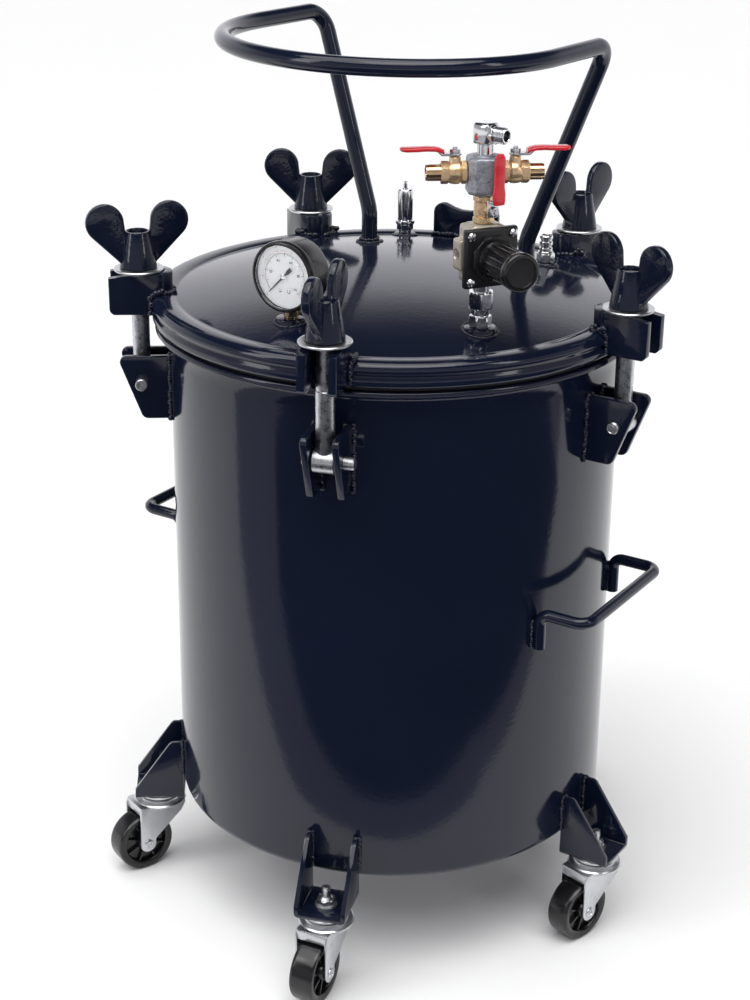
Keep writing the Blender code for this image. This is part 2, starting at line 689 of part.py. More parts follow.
def elbow():
    """Threaded end points along +X."""
    z0 = MANIFOLD_Z1 + GAP
    mid = MANIFOLD_Z1 + 14.5
    leg = rod((0.0, 0.0, z0), (0.0, 0.0, mid - 5.5), 6.0)
    core = rod((0.0, 0.0, mid - 7.5), (0.0, 0.0, mid + 7.5), 7.4, 6.4, sides=8, turn=22.5)
    arm = rod((0.0, 0.0, mid), (18.0, 0.0, mid), 5.4)
    bore = rod((7.0, 0.0, mid), (20.0, 0.0, mid), 3.6)
    return combine(leg, add=(core, arm), cut=(bore,))


RELIEF_Z = FLANGE_TOP + RELIEF_RISE
OUTLET_Z = FLANGE_TOP + OUTLET_RISE


def relief_valve():
    z = PAD_TOP["relief"] + GAP
    low = rod((0.0, 0.0, z), (0.0, 0.0, RELIEF_Z), 6.6, sides=6)
    flange = rod((0.0, 0.0, RELIEF_Z - 0.5), (0.0, 0.0, RELIEF_Z + 2.5), 8.4)
    body = rod((0.0, 0.0, RELIEF_Z + 2.0), (0.0, 0.0, RELIEF_Z + 29.0), 6.6)
    bore = rod((0.0, 0.0, RELIEF_Z + 11.5), (0.0, 0.0, RELIEF_Z + 30.5), 2.4)
    return combine(low, add=(flange, body), cut=(bore,))


def relief_pin():
    return combine(rod((0.0, 0.0, RELIEF_Z + 14.5), (0.0, 0.0, RELIEF_Z + 35.5), 1.9))


def outlet_fitting():
    z = PAD_TOP["outlet"] + GAP
    low = rod((0.0, 0.0, z), (0.0, 0.0, OUTLET_Z), 6.9, sides=6)
    neck = rod((0.0, 0.0, OUTLET_Z - 0.5), (0.0, 0.0, OUTLET_Z + 13.0), 5.3)
    bore = rod((0.0, 0.0, OUTLET_Z + 4.0), (0.0, 0.0, OUTLET_Z + 17.0), 3.2)
    return combine(low, add=(neck,), cut=(bore,))


# ---- assembly ----
node("tank_shell", vessel(), "navy")
node("lid_gasket", gasket(), "rubber")
node("lid", lid(), "navy")
node("bow_handle", bow_handle(), "navy", sharp=50.0)

grip_mesh = side_handle()
node("side_handle_right", grip_mesh, "navy", turn_to(SIDE_HANDLE_ANGLE), 50.0)
node("side_handle_left", grip_mesh.copy(), "navy", turn_to(SIDE_HANDLE_ANGLE + 180.0), 50.0)

clevis_mesh = clevis()
bolt_mesh = swing_bolt()
washer_mesh = washer()
nut_mesh = wing_nut()
bracket_mesh = bracket()
fork_mesh = fork()
wheel_mesh = wheel()

for k in range(CLAMP_COUNT):
    clock = CLAMP_START + 72.0 * k
    at = turn_to(clock)
    tag = str(k + 1)
    pivot = at @ shift(CLAMP_R, 0.0, PIN_Z)
    node("clevis_" + tag, clevis_mesh.copy(), "navy", pivot)
    node("swing_bolt_" + tag, bolt_mesh.copy(), "zinc", pivot)
    node("washer_" + tag, washer_mesh.copy(), "zinc", at @ shift(CLAMP_R, 0.0, WASHER_Z))
    wing = Matrix.Rotation(math.radians(WING_TURN[k % len(WING_TURN)]), 4, "Z")
    node("wing_nut_" + tag, nut_mesh.copy(), "navy", at @ shift(CLAMP_R, 0.0, NUT_Z) @ wing)
    node("caster_bracket_" + tag, bracket_mesh.copy(), "navy", at)
    post = at @ shift(CASTER_R, 0.0, 0.0)
    swivel = Matrix.Translation(post.to_translation()) @ turn_to(CASTER_HEADING[k % len(CASTER_HEADING)])
    node("caster_fork_" + tag, fork_mesh.copy(), "zinc", swivel)
    node("caster_wheel_" + tag, wheel_mesh.copy(), "black", swivel @ shift(CASTER_TRAIL, 0.0, WHEEL_R))

gauge_at = shift(*GAUGE_XY, GAUGE_Z) @ turn_to(GAUGE_FACE)
case_mesh, dial_post = gauge_case()
case_holder = holder(case_mesh, "case")
node("gauge_case", combine(case_holder, add=(dial_post,)), "black", gauge_at)
node("gauge_pointer", gauge_pointer(), "black", gauge_at @ shift(GAUGE_FRONT - 3.1, 0.0, 0.0))
node("gauge_lens", gauge_lens(), "clear", gauge_at)

tower = shift(*REG_XY, 0.0)
node("union_fitting", union_fitting(), "chrome", tower)
node("regulator_body", regulator_body(), "beige", tower @ turn_to(REG_FACE))
node("regulator_knob", regulator_knob(), "black", tower @ turn_to(REG_FACE) @ shift(0.0, 0.0, REG_MID))
node("valve_low", low_valve(), "brass", tower @ turn_to(LOW_VALVE_FACE))
node("lever_low", low_lever(), "red", tower @ turn_to(LOW_VALVE_FACE) @ shift(0.0, 0.0, LOW_STEM_Z))
node("manifold", manifold(), "zinc", tower @ turn_to(BRANCH_FACE))
branch = tower @ turn_to(BRANCH_FACE) @ shift(0.0, 0.0, BRANCH_Z)
node("valve_left", branch_valve(-1.0), "brass", branch)
node("valve_right", branch_valve(1.0), "brass", branch)
node("lever_left", branch_lever(-1.0), "red", branch @ shift(-STEM_OUT, 0.0, 0.0))
node("lever_right", branch_lever(1.0), "red", branch @ shift(STEM_OUT, 0.0, 0.0))
node("elbow", elbow(), "chrome", tower @ turn_to(50.0))

node("relief_valve", relief_valve(), "chrome", shift(*RELIEF_XY, 0.0))
node("relief_pin", relief_pin(), "chrome", shift(*RELIEF_XY, 0.0))
node("outlet_fitting", outlet_fitting(), "chrome", shift(*OUTLET_XY, 0.0))
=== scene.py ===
"""Looks for the resin pressure pot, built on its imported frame.

Lengths in the code are millimetres times MM; every piece stands where the frame has its part.
"""
import json
import math

import bmesh
import bpy
from mathutils import Matrix, Vector


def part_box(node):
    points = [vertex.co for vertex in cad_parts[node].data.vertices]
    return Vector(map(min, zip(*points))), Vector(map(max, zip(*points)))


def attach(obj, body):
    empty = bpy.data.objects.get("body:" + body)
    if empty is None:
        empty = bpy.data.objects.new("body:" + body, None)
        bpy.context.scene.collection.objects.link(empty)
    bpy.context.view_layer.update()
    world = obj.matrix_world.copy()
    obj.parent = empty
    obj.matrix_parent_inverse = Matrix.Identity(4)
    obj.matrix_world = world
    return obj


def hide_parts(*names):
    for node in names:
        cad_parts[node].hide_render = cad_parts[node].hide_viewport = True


bl_info = {
    "name": "Resin pressure pot",
    "version": (1, 0, 0),
    "blender": (4, 5, 0),
    "location": "3D View > Sidebar > Pressure Pot",
    "description": "Builds the finished look of a five-clamp pressure pot on casters",
    "category": "Object",
}

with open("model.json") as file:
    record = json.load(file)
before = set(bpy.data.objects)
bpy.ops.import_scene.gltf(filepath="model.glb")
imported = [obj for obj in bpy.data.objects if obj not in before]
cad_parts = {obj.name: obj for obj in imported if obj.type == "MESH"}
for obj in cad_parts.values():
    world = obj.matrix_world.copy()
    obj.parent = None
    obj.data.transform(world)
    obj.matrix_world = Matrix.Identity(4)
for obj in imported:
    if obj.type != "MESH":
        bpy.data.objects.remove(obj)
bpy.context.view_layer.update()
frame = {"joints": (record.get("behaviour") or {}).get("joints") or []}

MM = 0.001
GAP = 0.3
UP = Vector((0.0, 0.0, 1.0))
TAGS = ("1", "2", "3", "4", "5")


# ---- sizes read from the frame, in millimetres from the vessel's axis ----
def vessel_axis():
    least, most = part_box("tank_shell")
    return Vector((least.x + most.x, least.y + most.y, 0.0)) / 2


AXIS_AT = vessel_axis()
JOINTS = {j["name"]: (Vector(j["pos_m"]) - AXIS_AT,
                      Vector(j["axis"])) for j in frame["joints"] if "pos_m" in j}


def low(node):
    return (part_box(node)[0] - AXIS_AT) / MM


def high(node):
    return (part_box(node)[1] - AXIS_AT) / MM


TANK_Z0 = low("tank_shell").z
RIM_Z = high("tank_shell").z
RIM_R = high("tank_shell").y
TANK_R = RIM_R - 11.0
LID_Z0 = low("lid").z
EDGE_Z = LID_Z0 + 18.5          # flat top of the lid's edge band
LID_R = RIM_R + 2.0
DOME_R = TANK_R - 7.0
DOME_RISE = 18.5
PIN_Z = JOINTS["bolt_1_swing"][0].z / MM
CLAMP_R = math.hypot(*JOINTS["bolt_1_swing"][0].xy) / MM
WASHER_Z = low("washer_1").z
CLAW_TOP_Z = WASHER_Z - GAP
NUT_Z = low("wing_nut_1").z
BOLT_TOP_Z = high("swing_bolt_1").z
CASTER_R = math.hypot(*JOINTS["caster_1_swivel"][0].xy) / MM
BRACKET_TOP_Z = high("caster_bracket_1").z
AXLE_Z = JOINTS["wheel_1_roll"][0].z / MM
FORK_TOP_Z = high("caster_fork_1").z
BRACKET_Z = FORK_TOP_Z + 3.8
BOW_TOP_Z = high("bow_handle").z
REG_Z0 = low("regulator_body").z
REG_Z1 = high("regulator_body").z
MANIFOLD_Z0 = low("manifold").z
MANIFOLD_Z1 = high("manifold").z
ELBOW_Z1 = high("elbow").z


def dome_z(r):
    return EDGE_Z - 1.0 + DOME_RISE * (1.0 - (r / DOME_R) ** 2)


# ---- settings that a user would change ----
def length(name, about, value, top=0.1):
    return bpy.props.FloatProperty(name=name, description=about, default=value, min=0.0, soft_max=top,
                                   subtype="DISTANCE", unit="LENGTH", precision=4)


def share(name, about, value, top=1.0):
    return bpy.props.FloatProperty(name=name, description=about, default=value, min=0.0, max=top,
                                   subtype="FACTOR")


def tint(name, about, value):
    return bpy.props.FloatVectorProperty(name=name, description=about, default=value, min=0.0, max=1.0,
                                         subtype="COLOR", size=3)


def amount(name, about, value, top=100000.0):
    return bpy.props.FloatProperty(name=name, description=about, default=value, min=0.0, max=top)


def turn(name, about, degrees):
    return bpy.props.FloatProperty(name=name, description=about, default=math.radians(degrees),
                                   subtype="ANGLE", unit="ROTATION")


class PotFinishes(bpy.types.PropertyGroup):
    navy: tint("Paint", "Colour of the baked navy powder coat", (0.0042, 0.0070, 0.0190))
    paint_gloss: share("Paint roughness", "Roughness of the paint film", 0.10)
    ripple: share("Orange peel", "Strength of the fine ripple in the paint", 0.05)
    zinc: tint("Zinc", "Colour of zinc plated steel", (0.62, 0.63, 0.65))
    chrome: tint("Chrome", "Colour of bright plated fittings", (0.78, 0.79, 0.81))
    brass: tint("Brass", "Colour of the ball valve bodies", (0.84, 0.60, 0.36))
    vinyl: tint("Lever grips", "Colour of the dipped vinyl on the levers", (0.52, 0.004, 0.012))
    casting: tint("Manifold", "Colour of the zinc casting", (0.36, 0.37, 0.41))
    regulator: tint("Regulator", "Colour of the regulator's die-cast body", (0.50, 0.45, 0.37))
    plastic: tint("Black plastic", "Colour of knob, gauge case and wheels", (0.006, 0.006, 0.007))
    dial: tint("Dial", "Colour of the gauge's printed face", (0.97, 0.97, 0.97))


class PotVessel(bpy.types.PropertyGroup):
    wall: length("Wall", "Thickness of the vessel's wall", 3.5 * MM)
    lid_wall: length("Lid wall", "Thickness of the lid's dome", 4.0 * MM)
    chine: length("Bottom radius", "Radius between the wall and the bottom", 8.0 * MM)
    groove: length("Lid groove", "Depth of the groove round the lid's edge", 1.6 * MM)
    facets: bpy.props.IntProperty(name="Facets", description="Facets round the vessel and lid", default=180,
                                  min=48, max=360)


class PotClamps(bpy.types.PropertyGroup):
    bolt: length("Bolt", "Diameter of the swing bolts", 14.0 * MM)
    pitch: length("Thread pitch", "Pitch of the swing bolts' thread", 2.0 * MM)
    weld: length("Weld bead", "Radius of one ripple of weld", 1.9 * MM)
    strip: length("Claw strip", "Thickness of the bent claw strip", 6.0 * MM)
    ear: length("Clevis ear", "Thickness of a clevis ear", 5.0 * MM)


class PotCasters(bpy.types.PropertyGroup):
    width: length("Wheel width", "Width of a caster wheel", 20.6 * MM)
    sheet: length("Bracket sheet", "Thickness of the bracket's steel", 3.5 * MM)
    spokes: bpy.props.IntProperty(name="Spokes", description="Ribs in each face of a wheel", default=8,
                                  min=3,
                                  max=16)


class PotFittings(bpy.types.PropertyGroup):
    pitch: length("Pipe thread pitch", "Pitch of the small pipe threads", 1.34 * MM)
    ribs: bpy.props.IntProperty(name="Knob ribs", description="Ribs round the regulator's knob", default=18,
                                min=6, max=40)
    dial_top: bpy.props.IntProperty(name="Scale end", description="Highest number on the gauge's dial",
                                    default=100, min=10, max=400)


class PotStage(bpy.types.PropertyGroup):
    floor: tint("Floor", "Colour of floor and backdrop", (0.90, 0.90, 0.90))
    room: amount("Room light", "Strength of the even light from the room", 0.9)
    camera: bpy.props.FloatVectorProperty(name="Camera", description="Where the camera stands",
                                          default=(0.0, -1.45175, 0.92355), subtype="TRANSLATION",
                                          unit="LENGTH")
    pitch: turn("Camera pitch", "How far the camera looks down", 22.2808)
    yaw: turn("Camera yaw", "How far the camera turns to its right", -0.5817)
    roll: turn("Camera roll", "How far the camera leans", 0.5364)
    lens: bpy.props.FloatProperty(name="Lens", description="Focal length for a 36 mm high frame",
                                  default=70.13, min=10.0, subtype="DISTANCE_CAMERA")


SETTINGS = (("pot_finishes", PotFinishes), ("pot_vessel", PotVessel), ("pot_clamps", PotClamps),
            ("pot_casters", PotCasters), ("pot_fittings", PotFittings), ("pot_stage", PotStage))


def setting(group):
    return getattr(bpy.context.scene, group)


def mm(group, name):
    return getattr(setting(group), name) / MM


# ---- places: local X points out, local Z up unless said ----
def stand(origin, x_dir, z_dir=UP):
    """Placement whose X axis is x_dir; origin in millimetres."""
    x = Vector(x_dir).normalized()
    y = Vector(z_dir).cross(x).normalized()
    z = x.cross(y)
    turned = Matrix((x, y, z)).transposed().to_4x4()
    return Matrix.Translation(Vector(origin) * MM) @ turned


def flat(v):
    return Vector((v[0], v[1], 0.0))


def clock_dir(node):
    """Horizontal direction from the vessel's axis to the middle of a node."""
    return flat(low(node) + high(node)).normalized()


def clamp_place(tag):
    return stand((0, 0, 0), flat(JOINTS[f"bolt_{tag}_swing"][0]))


def caster_place(tag):
    return stand((0, 0, 0), flat(JOINTS[f"caster_{tag}_swivel"][0]))


def fork_place(tag):
    post = flat(JOINTS[f"caster_{tag}_swivel"][0])
    return stand(post / MM, flat(JOINTS[f"wheel_{tag}_roll"][0]) - post)


def axis_of(node):
    mid = (low(node) + high(node)) / 2
    return flat(mid)


TOWER = axis_of("union_fitting")
REG_PLACE = stand(TOWER, axis_of("regulator_knob") - TOWER)
LOW_PLACE = stand(TOWER, JOINTS["lever_low_turn"][1])
BRANCH_PLACE = stand(TOWER, axis_of("valve_right") - TOWER)
NEEDLE_AT, NEEDLE_AXIS = JOINTS["gauge_needle"]
GAUGE_X = -flat(NEEDLE_AXIS).normalized()
GAUGE_PLACE = stand(NEEDLE_AT / MM - GAUGE_X * 8.9, GAUGE_X)
BOW_CLOCK = math.radians(-36.0)
BOW_PLACE = stand((0, 0, 0), (math.sin(BOW_CLOCK), -math.cos(BOW_CLOCK), 0.0))


def shift(x, y, z):
    return Matrix.Translation(Vector((x, y, z)) * MM)


def tip(degrees, axis):
    return Matrix.Rotation(math.radians(degrees), 4, axis)


# ---- mesh helpers (arguments in millimetres) ----
def arc(cx, cy, r, a0, a1, steps):
    out = []
    for k in range(steps + 1):
        a = math.radians(a0 + (a1 - a0) * k / steps)
        out.append((cx + r * math.cos(a), cy + r * math.sin(a)))
    return out


def spun(profile, steps=64, place=None):
    """Closed solid of revolution about Z; the profile runs from axis to axis or is a closed loop."""
    bm = bmesh.new()
    on_axis = [r < 1e-6 for r, _ in profile]
    looped = not (on_axis[0] and on_axis[-1])
    rings = []
    for (r, z), centre in zip(profile, on_axis):
        if centre:
            rings.append([bm.verts.new((0.0, 0.0, z * MM))])
            continue
        ring = []
        for k in range(steps):
            a = 2 * math.pi * k / steps
            ring.append(bm.verts.new((r * MM * math.cos(a), r * MM * math.sin(a), z * MM)))
        rings.append(ring)
    pairs = list(zip(rings, rings[1:]))
    if looped:
        pairs.append((rings[-1], rings[0]))
    for a, b in pairs:
        for k in range(steps):
            n = (k + 1) % steps
            corners = [a[k % len(a)], a[n % len(a)], b[n % len(b)], b[k % len(b)]]
            face = list(dict.fromkeys(corners))
            if len(face) > 2:
                bm.faces.new(face)
    return settled(bm, place)


def settled(bm, place=None):
    bmesh.ops.recalc_face_normals(bm, faces=bm.faces)
    if place is not None:
        bmesh.ops.transform(bm, matrix=place, verts=bm.verts)
    return bm


def hexed(flats_r, z0, z1, bore=0.0, chamfer=0.9, place=None, sides=6, steps=72):
    """Chamfered nut or hex about Z: flats_r is from the axis to a flat."""
    bm = bmesh.new()
    heights = [(z0, 0.0), (z0 + chamfer, chamfer * 2.2), (z1 - chamfer, chamfer * 2.2), (z1, 0.0)]
    mids = [(z0 + chamfer * 0.45, chamfer), (z1 - chamfer * 0.45, chamfer)]
    heights = sorted(heights + mids)
    rings = []
    for z, grow in heights:
        ring = []
        for k in range(steps):
            a = 2 * math.pi * k / steps
            wedge = (a % (2 * math.pi / sides)) - math.pi / sides
            r = min(flats_r / math.cos(wedge), flats_r * 0.985 + grow)
            ring.append(bm.verts.new((r * MM * math.cos(a), r * MM * math.sin(a), z * MM)))
        rings.append(ring)
    for a, b in zip(rings, rings[1:]):
        for k in range(steps):
            n = (k + 1) % steps
            bm.faces.new((a[k], a[n], b[n], b[k]))
    if bore:
        inner = []
        for z in (z0, z1):
            inner.append([bm.verts.new((bore * MM * math.cos(2 * math.pi * k / steps),
                                        bore * MM * math.sin(2 * math.pi * k / steps), z * MM))
                          for k in range(steps)])
        for k in range(steps):
            n = (k + 1) % steps
            bm.faces.new((inner[0][k], inner[0][n], rings[0][n], rings[0][k]))
            bm.faces.new((inner[1][k], inner[1][n], rings[-1][n], rings[-1][k]))
            bm.faces.new((inner[0][k], inner[0][n], inner[1][n], inner[1][k]))
    else:
        bm.faces.new(rings[0])
        bm.faces.new(rings[-1])
    return settled(bm, place)


def sheet(points, z0, z1, bevel=0.6, place=None, steps=2):
    """Flat plate with rounded edges: a closed outline in XY between two heights."""
    bm = bmesh.new()
    lower = [bm.verts.new((x * MM, y * MM, z0 * MM)) for x, y in points]
    bm.faces.new(lower)
    out = bmesh.ops.extrude_face_region(bm, geom=bm.faces[:])
    up = [g for g in out["geom"] if isinstance(g, bmesh.types.BMVert)]
    bmesh.ops.translate(bm, verts=up, vec=(0.0, 0.0, (z1 - z0) * MM))
    bmesh.ops.recalc_face_normals(bm, faces=bm.faces)
    if bevel:
        rim = [e for e in bm.edges if e.calc_face_angle(0.0) > math.radians(50.0)]
        bmesh.ops.bevel(bm, geom=rim, offset=bevel * MM, segments=steps, profile=0.5, affect="EDGES",
                        clamp_overlap=True)
    return settled(bm, place)


def slab(x0, x1, y0, y1, z0, z1, bevel=0.6, place=None, steps=2):
    bm = bmesh.new()
    size = Vector((x1 - x0, y1 - y0, z1 - z0)) * MM
    centre = Vector((x0 + x1, y0 + y1, z0 + z1)) * MM / 2
    bmesh.ops.create_cube(bm, size=1.0, matrix=Matrix.Translation(centre) @ Matrix.Diagonal((*size, 1.0)))
    if bevel:
        bmesh.ops.bevel(bm, geom=bm.edges[:], offset=bevel * MM, segments=steps, profile=0.5,
                        affect="EDGES")
    return settled(bm, place)


def tube(path, r, sides=24, place=None, flare=0.0):
    """Round bar along a smooth path, with eased ends; flare swells its last few millimetres."""
    pts = [Vector(p) for p in path]
    bm = bmesh.new()
    normal = None
    rings = []
    last = len(pts) - 1
    for i, p in enumerate(pts):
        ahead = (pts[min(i + 1, last)] - pts[max(i - 1, 0)]).normalized()
        if normal is None:
            normal = ahead.orthogonal().normalized()
        normal = (normal - ahead * normal.dot(ahead)).normalized()
        across = ahead.cross(normal)
        grow = r + flare * (1.0 if i in (0, last) else 0.35 if i in (1, last - 1) else 0.0)
        ring = []
        for k in range(sides):
            a = 2 * math.pi * k / sides
            ring.append(bm.verts.new((p + (normal * math.cos(a) + across * math.sin(a)) * grow) * MM))
        rings.append(ring)
    for a, b in zip(rings, rings[1:]):
        for k in range(sides):
            n = (k + 1) % sides
            bm.faces.new((a[k], a[n], b[n], b[k]))
    bm.faces.new(rings[0])
    bm.faces.new(rings[-1])
    return settled(bm, place)


def rounded(points, radii, steps=8):
    """Polyline with each inner corner turned as an arc."""
    pts = [Vector(p) for p in points]
    out = [pts[0]]
    for i in range(1, len(pts) - 1):
        a = (pts[i - 1] - pts[i]).normalized()
        b = (pts[i + 1] - pts[i]).normalized()
        half = a.angle(b) / 2
        reach = radii[i - 1] / math.tan(half)
        centre = pts[i] + (a + b).normalized() * (radii[i - 1] / math.sin(half))
        start = pts[i] + a * reach - centre
        end = pts[i] + b * reach - centre
        sweep = start.angle(end)
        for k in range(steps + 1):
            t = k / steps
            s = math.sin(sweep)
            turned = start * (math.sin((1 - t) * sweep) / s) + end * (math.sin(t * sweep) / s)
            out.append(centre + turned)
    out.append(pts[-1])
    return out


def joined(*parts):
    """One bmesh of several closed shells."""
    whole = bmesh.new()
    for bm in parts:
        mesh = bpy.data.meshes.new("shell")
        bm.to_mesh(mesh)
        bm.free()
        whole.from_mesh(mesh)
        bpy.data.meshes.remove(mesh)
    return whole


def cut(solid, *tools, add=()):
    """Solid joined with the added shells and less the tools, by exact booleans."""
    base = holder(solid, "solid")
    for group, kind in ((add, "UNION"), (tools, "DIFFERENCE")):
        for shell in group:
            step = base.modifiers.new(kind, "BOOLEAN")
            step.operation, step.solver = kind, "EXACT"
            step.object = holder(shell, "tool")
    mesh = baked(base)
    for obj in [base] + [m.object for m in base.modifiers]:
        bpy.data.objects.remove(obj)
    bm = bmesh.new()
    bm.from_mesh(mesh)
    bpy.data.meshes.remove(mesh)
    return bm


def fused(voxel, *parts, smooth=6):
    """Several shells cast into one skin with soft inner corners."""
    base = holder(joined(*parts), "cast")
    remesh = base.modifiers.new("skin", "REMESH")
    remesh.mode = "VOXEL"
    remesh.voxel_size = voxel * MM
    soften = base.modifiers.new("soften", "SMOOTH")
    soften.iterations = smooth
    soften.factor = 0.5
    mesh = baked(base)
    bpy.data.objects.remove(base)
    bm = bmesh.new()
    bm.from_mesh(mesh)
    bpy.data.meshes.remove(mesh)
    return bm


def holder(bm, name):
    mesh = bpy.data.meshes.new(name)
    bm.to_mesh(mesh)
    bm.free()
    obj = bpy.data.objects.new(name, mesh)
    bpy.context.scene.collection.objects.link(obj)
    return obj


def baked(obj):
    bpy.context.view_layer.update()
    graph = bpy.context.evaluated_depsgraph_get()
    return bpy.data.meshes.new_from_object(obj.evaluated_get(graph))


def piece(name, bm, mat, body, slot, *nodes, sharp=35.0):
    """Finished piece: a plain mesh at the origin that rides on a body and stands for its nodes."""
    mesh = bpy.data.meshes.new(name)
    bm.to_mesh(mesh)
    bm.free()
    return show(name, mesh, mat, body, slot, *nodes, sharp=sharp)


def show(name, mesh, mat, body, slot, *nodes, sharp=35.0):
    obj = bpy.data.objects.new(name, mesh)
    bpy.context.scene.collection.objects.link(obj)
    if mat is not None:
        mesh.materials.clear()
        mesh.materials.append(mat)
    mesh.transform(Matrix.Translation(AXIS_AT))
    mesh.shade_smooth()
    mesh.set_sharp_from_angle(angle=math.radians(sharp))
    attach(obj, body)
    if nodes:
        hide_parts(*nodes)
    return obj


# ---- geometry node trees ----
def tree_with(name, inputs):
    tree = bpy.data.node_groups.new(name, "GeometryNodeTree")
    tree.is_modifier = True
    tree.interface.new_socket("Geometry", in_out="INPUT", socket_type="NodeSocketGeometry")
    for label, kind, value in inputs:
        socket = tree.interface.new_socket(label, in_out="INPUT", socket_type="NodeSocket" + kind)
        if value is not None:
            socket.default_value = value
    tree.interface.new_socket("Geometry", in_out="OUTPUT", socket_type="NodeSocketGeometry")
    return tree, tree.nodes.new("NodeGroupInput").outputs


def add(tree, kind, links=(), **settings):
    node = tree.nodes.new(kind)
    for key, value in settings.items():
        setattr(node, key, value)
    for target, source in links:
        socket = node.inputs[target]
        if hasattr(source, "is_output"):
            tree.links.new(source, socket)
        else:
            socket.default_value = source
    return node


def ended(tree, geometry, material):
    real = add(tree, "GeometryNodeRealizeInstances", [(0, geometry)])
    coat = add(tree, "GeometryNodeSetMaterial", [("Geometry", real.outputs[0]), ("Material", material)])
    add(tree, "NodeGroupOutput", [(0, coat.outputs[0])])
    return tree


def thread_tree():
    """A sharp ridge wound about Z: the turns of a screw thread."""
    tree, given = tree_with("Screw thread", [("Radius", "Float", 0.007), ("Pitch", "Float", 0.002),
                                             ("Length", "Float", 0.05), ("Depth", "Float", 0.0011),
                                             ("Steps", "Int", 36), ("Material", "Material", None)])
    turns = add(tree, "ShaderNodeMath", [(0, given["Length"]), (1, given["Pitch"])], operation="DIVIDE")
    core = add(tree, "ShaderNodeMath", [(0, given["Radius"]), (1, given["Depth"])], operation="SUBTRACT")
    path = add(tree, "GeometryNodeCurveSpiral",
               [("Resolution", given["Steps"]), ("Rotations", turns.outputs[0]),
                ("Start Radius", core.outputs[0]), ("End Radius", core.outputs[0]),
                ("Height", given["Length"])])
    upright = add(tree, "GeometryNodeSetCurveNormal", [("Curve", path.outputs[0])], mode="Z_UP")
    size = add(tree, "ShaderNodeMath", [(0, given["Depth"]), (1, 1.16)], operation="MULTIPLY")
    ridge = add(tree, "GeometryNodeCurvePrimitiveCircle", [("Resolution", 3), ("Radius", size.outputs[0])])
    body = add(tree, "GeometryNodeCurveToMesh",
               [("Curve", upright.outputs[0]), ("Profile Curve", ridge.outputs[0]), ("Fill Caps", True)])
    both = add(tree, "GeometryNodeJoinGeometry")
    tree.links.new(given["Geometry"], both.inputs[0])
    tree.links.new(body.outputs[0], both.inputs[0])
    return ended(tree, both.outputs[0], given["Material"])


def ring_tree():
    """Copies of the given shape turned about Z by even steps."""
    tree, given = tree_with("Ring of copies", [("Count", "Int", 12), ("Start", "Float", 0.0),
                                               ("Sweep", "Float", math.tau),
                                               ("Material", "Material", None)])
    points = add(tree, "GeometryNodePoints", [("Count", given["Count"])])
    index = add(tree, "GeometryNodeInputIndex")
    step = add(tree, "ShaderNodeMath", [(0, given["Sweep"]), (1, given["Count"])], operation="DIVIDE")
    angle = add(tree, "ShaderNodeMath", [(0, index.outputs[0]), (1, step.outputs[0]), (2, given["Start"])],
                operation="MULTIPLY_ADD")
    spin = add(tree, "ShaderNodeCombineXYZ", [("Z", angle.outputs[0])])
    copies = add(tree, "GeometryNodeInstanceOnPoints",
                 [("Points", points.outputs[0]), ("Instance", given["Geometry"]),
                  ("Rotation", spin.outputs[0])])
    return ended(tree, copies.outputs[0], given["Material"])


def weld_tree():
    """Overlapping drops of weld metal laid along the given edges."""
    tree, given = tree_with("Weld bead", [("Radius", "Float", 0.0019), ("Spacing", "Float", 0.0016),
                                          ("Roughness", "Float", 0.35), ("Seed", "Int", 3),
                                          ("Material", "Material", None)])
    path = add(tree, "GeometryNodeMeshToCurve", [("Mesh", given["Geometry"])])
    even = add(tree, "GeometryNodeResampleCurve",
               [("Curve", path.outputs[0]), ("Length", given["Spacing"])], mode="LENGTH")
    stray = add(tree, "ShaderNodeMath", [(0, given["Radius"]), (1, given["Roughness"])],
                operation="MULTIPLY")
    back = add(tree, "ShaderNodeMath", [(0, stray.outputs[0]), (1, -1.0)], operation="MULTIPLY")
    most = add(tree, "ShaderNodeCombineXYZ", [(0, stray.outputs[0]), (1, stray.outputs[0]),
                                              (2, stray.outputs[0])])
    least = add(tree, "ShaderNodeCombineXYZ", [(0, back.outputs[0]), (1, back.outputs[0]),
                                               (2, back.outputs[0])])
    jitter = add(tree, "FunctionNodeRandomValue", data_type="FLOAT_VECTOR")
    tree.links.new(least.outputs[0], jitter.inputs[0])
    tree.links.new(most.outputs[0], jitter.inputs[1])
    tree.links.new(given["Seed"], jitter.inputs["Seed"])
    loose = add(tree, "GeometryNodeSetPosition",
                [("Geometry", even.outputs[0]), ("Offset", jitter.outputs[0])])
    drop = add(tree, "GeometryNodeMeshIcoSphere", [("Radius", given["Radius"]), ("Subdivisions", 2)])
    grow = add(tree, "FunctionNodeRandomValue", [("Seed", 7)], data_type="FLOAT")
    grow.inputs[2].default_value = 0.75
    grow.inputs[3].default_value = 1.3
    bead = add(tree, "GeometryNodeInstanceOnPoints",
               [("Points", loose.outputs[0]), ("Instance", drop.outputs[0]), ("Scale", grow.outputs[1])])
    return ended(tree, bead.outputs[0], given["Material"])


def grown(obj_name, bm, tree, place=None, **values):
    """Runs a tree on a mesh with its named inputs set, and returns the plain mesh."""
    obj = holder(bm, obj_name)
    step = obj.modifiers.new(tree.name, "NODES")
    step.node_group = tree
    sockets = {s.name.lower(): s.identifier for s in tree.interface.items_tree if s.in_out == "INPUT"}
    for key, value in values.items():
        step[sockets[key]] = value
    mesh = baked(obj)
    bpy.data.objects.remove(obj)
    if place is not None:
        mesh.transform(place)
    out = bmesh.new()
    out.from_mesh(mesh)
    bpy.data.meshes.remove(mesh)
    return out


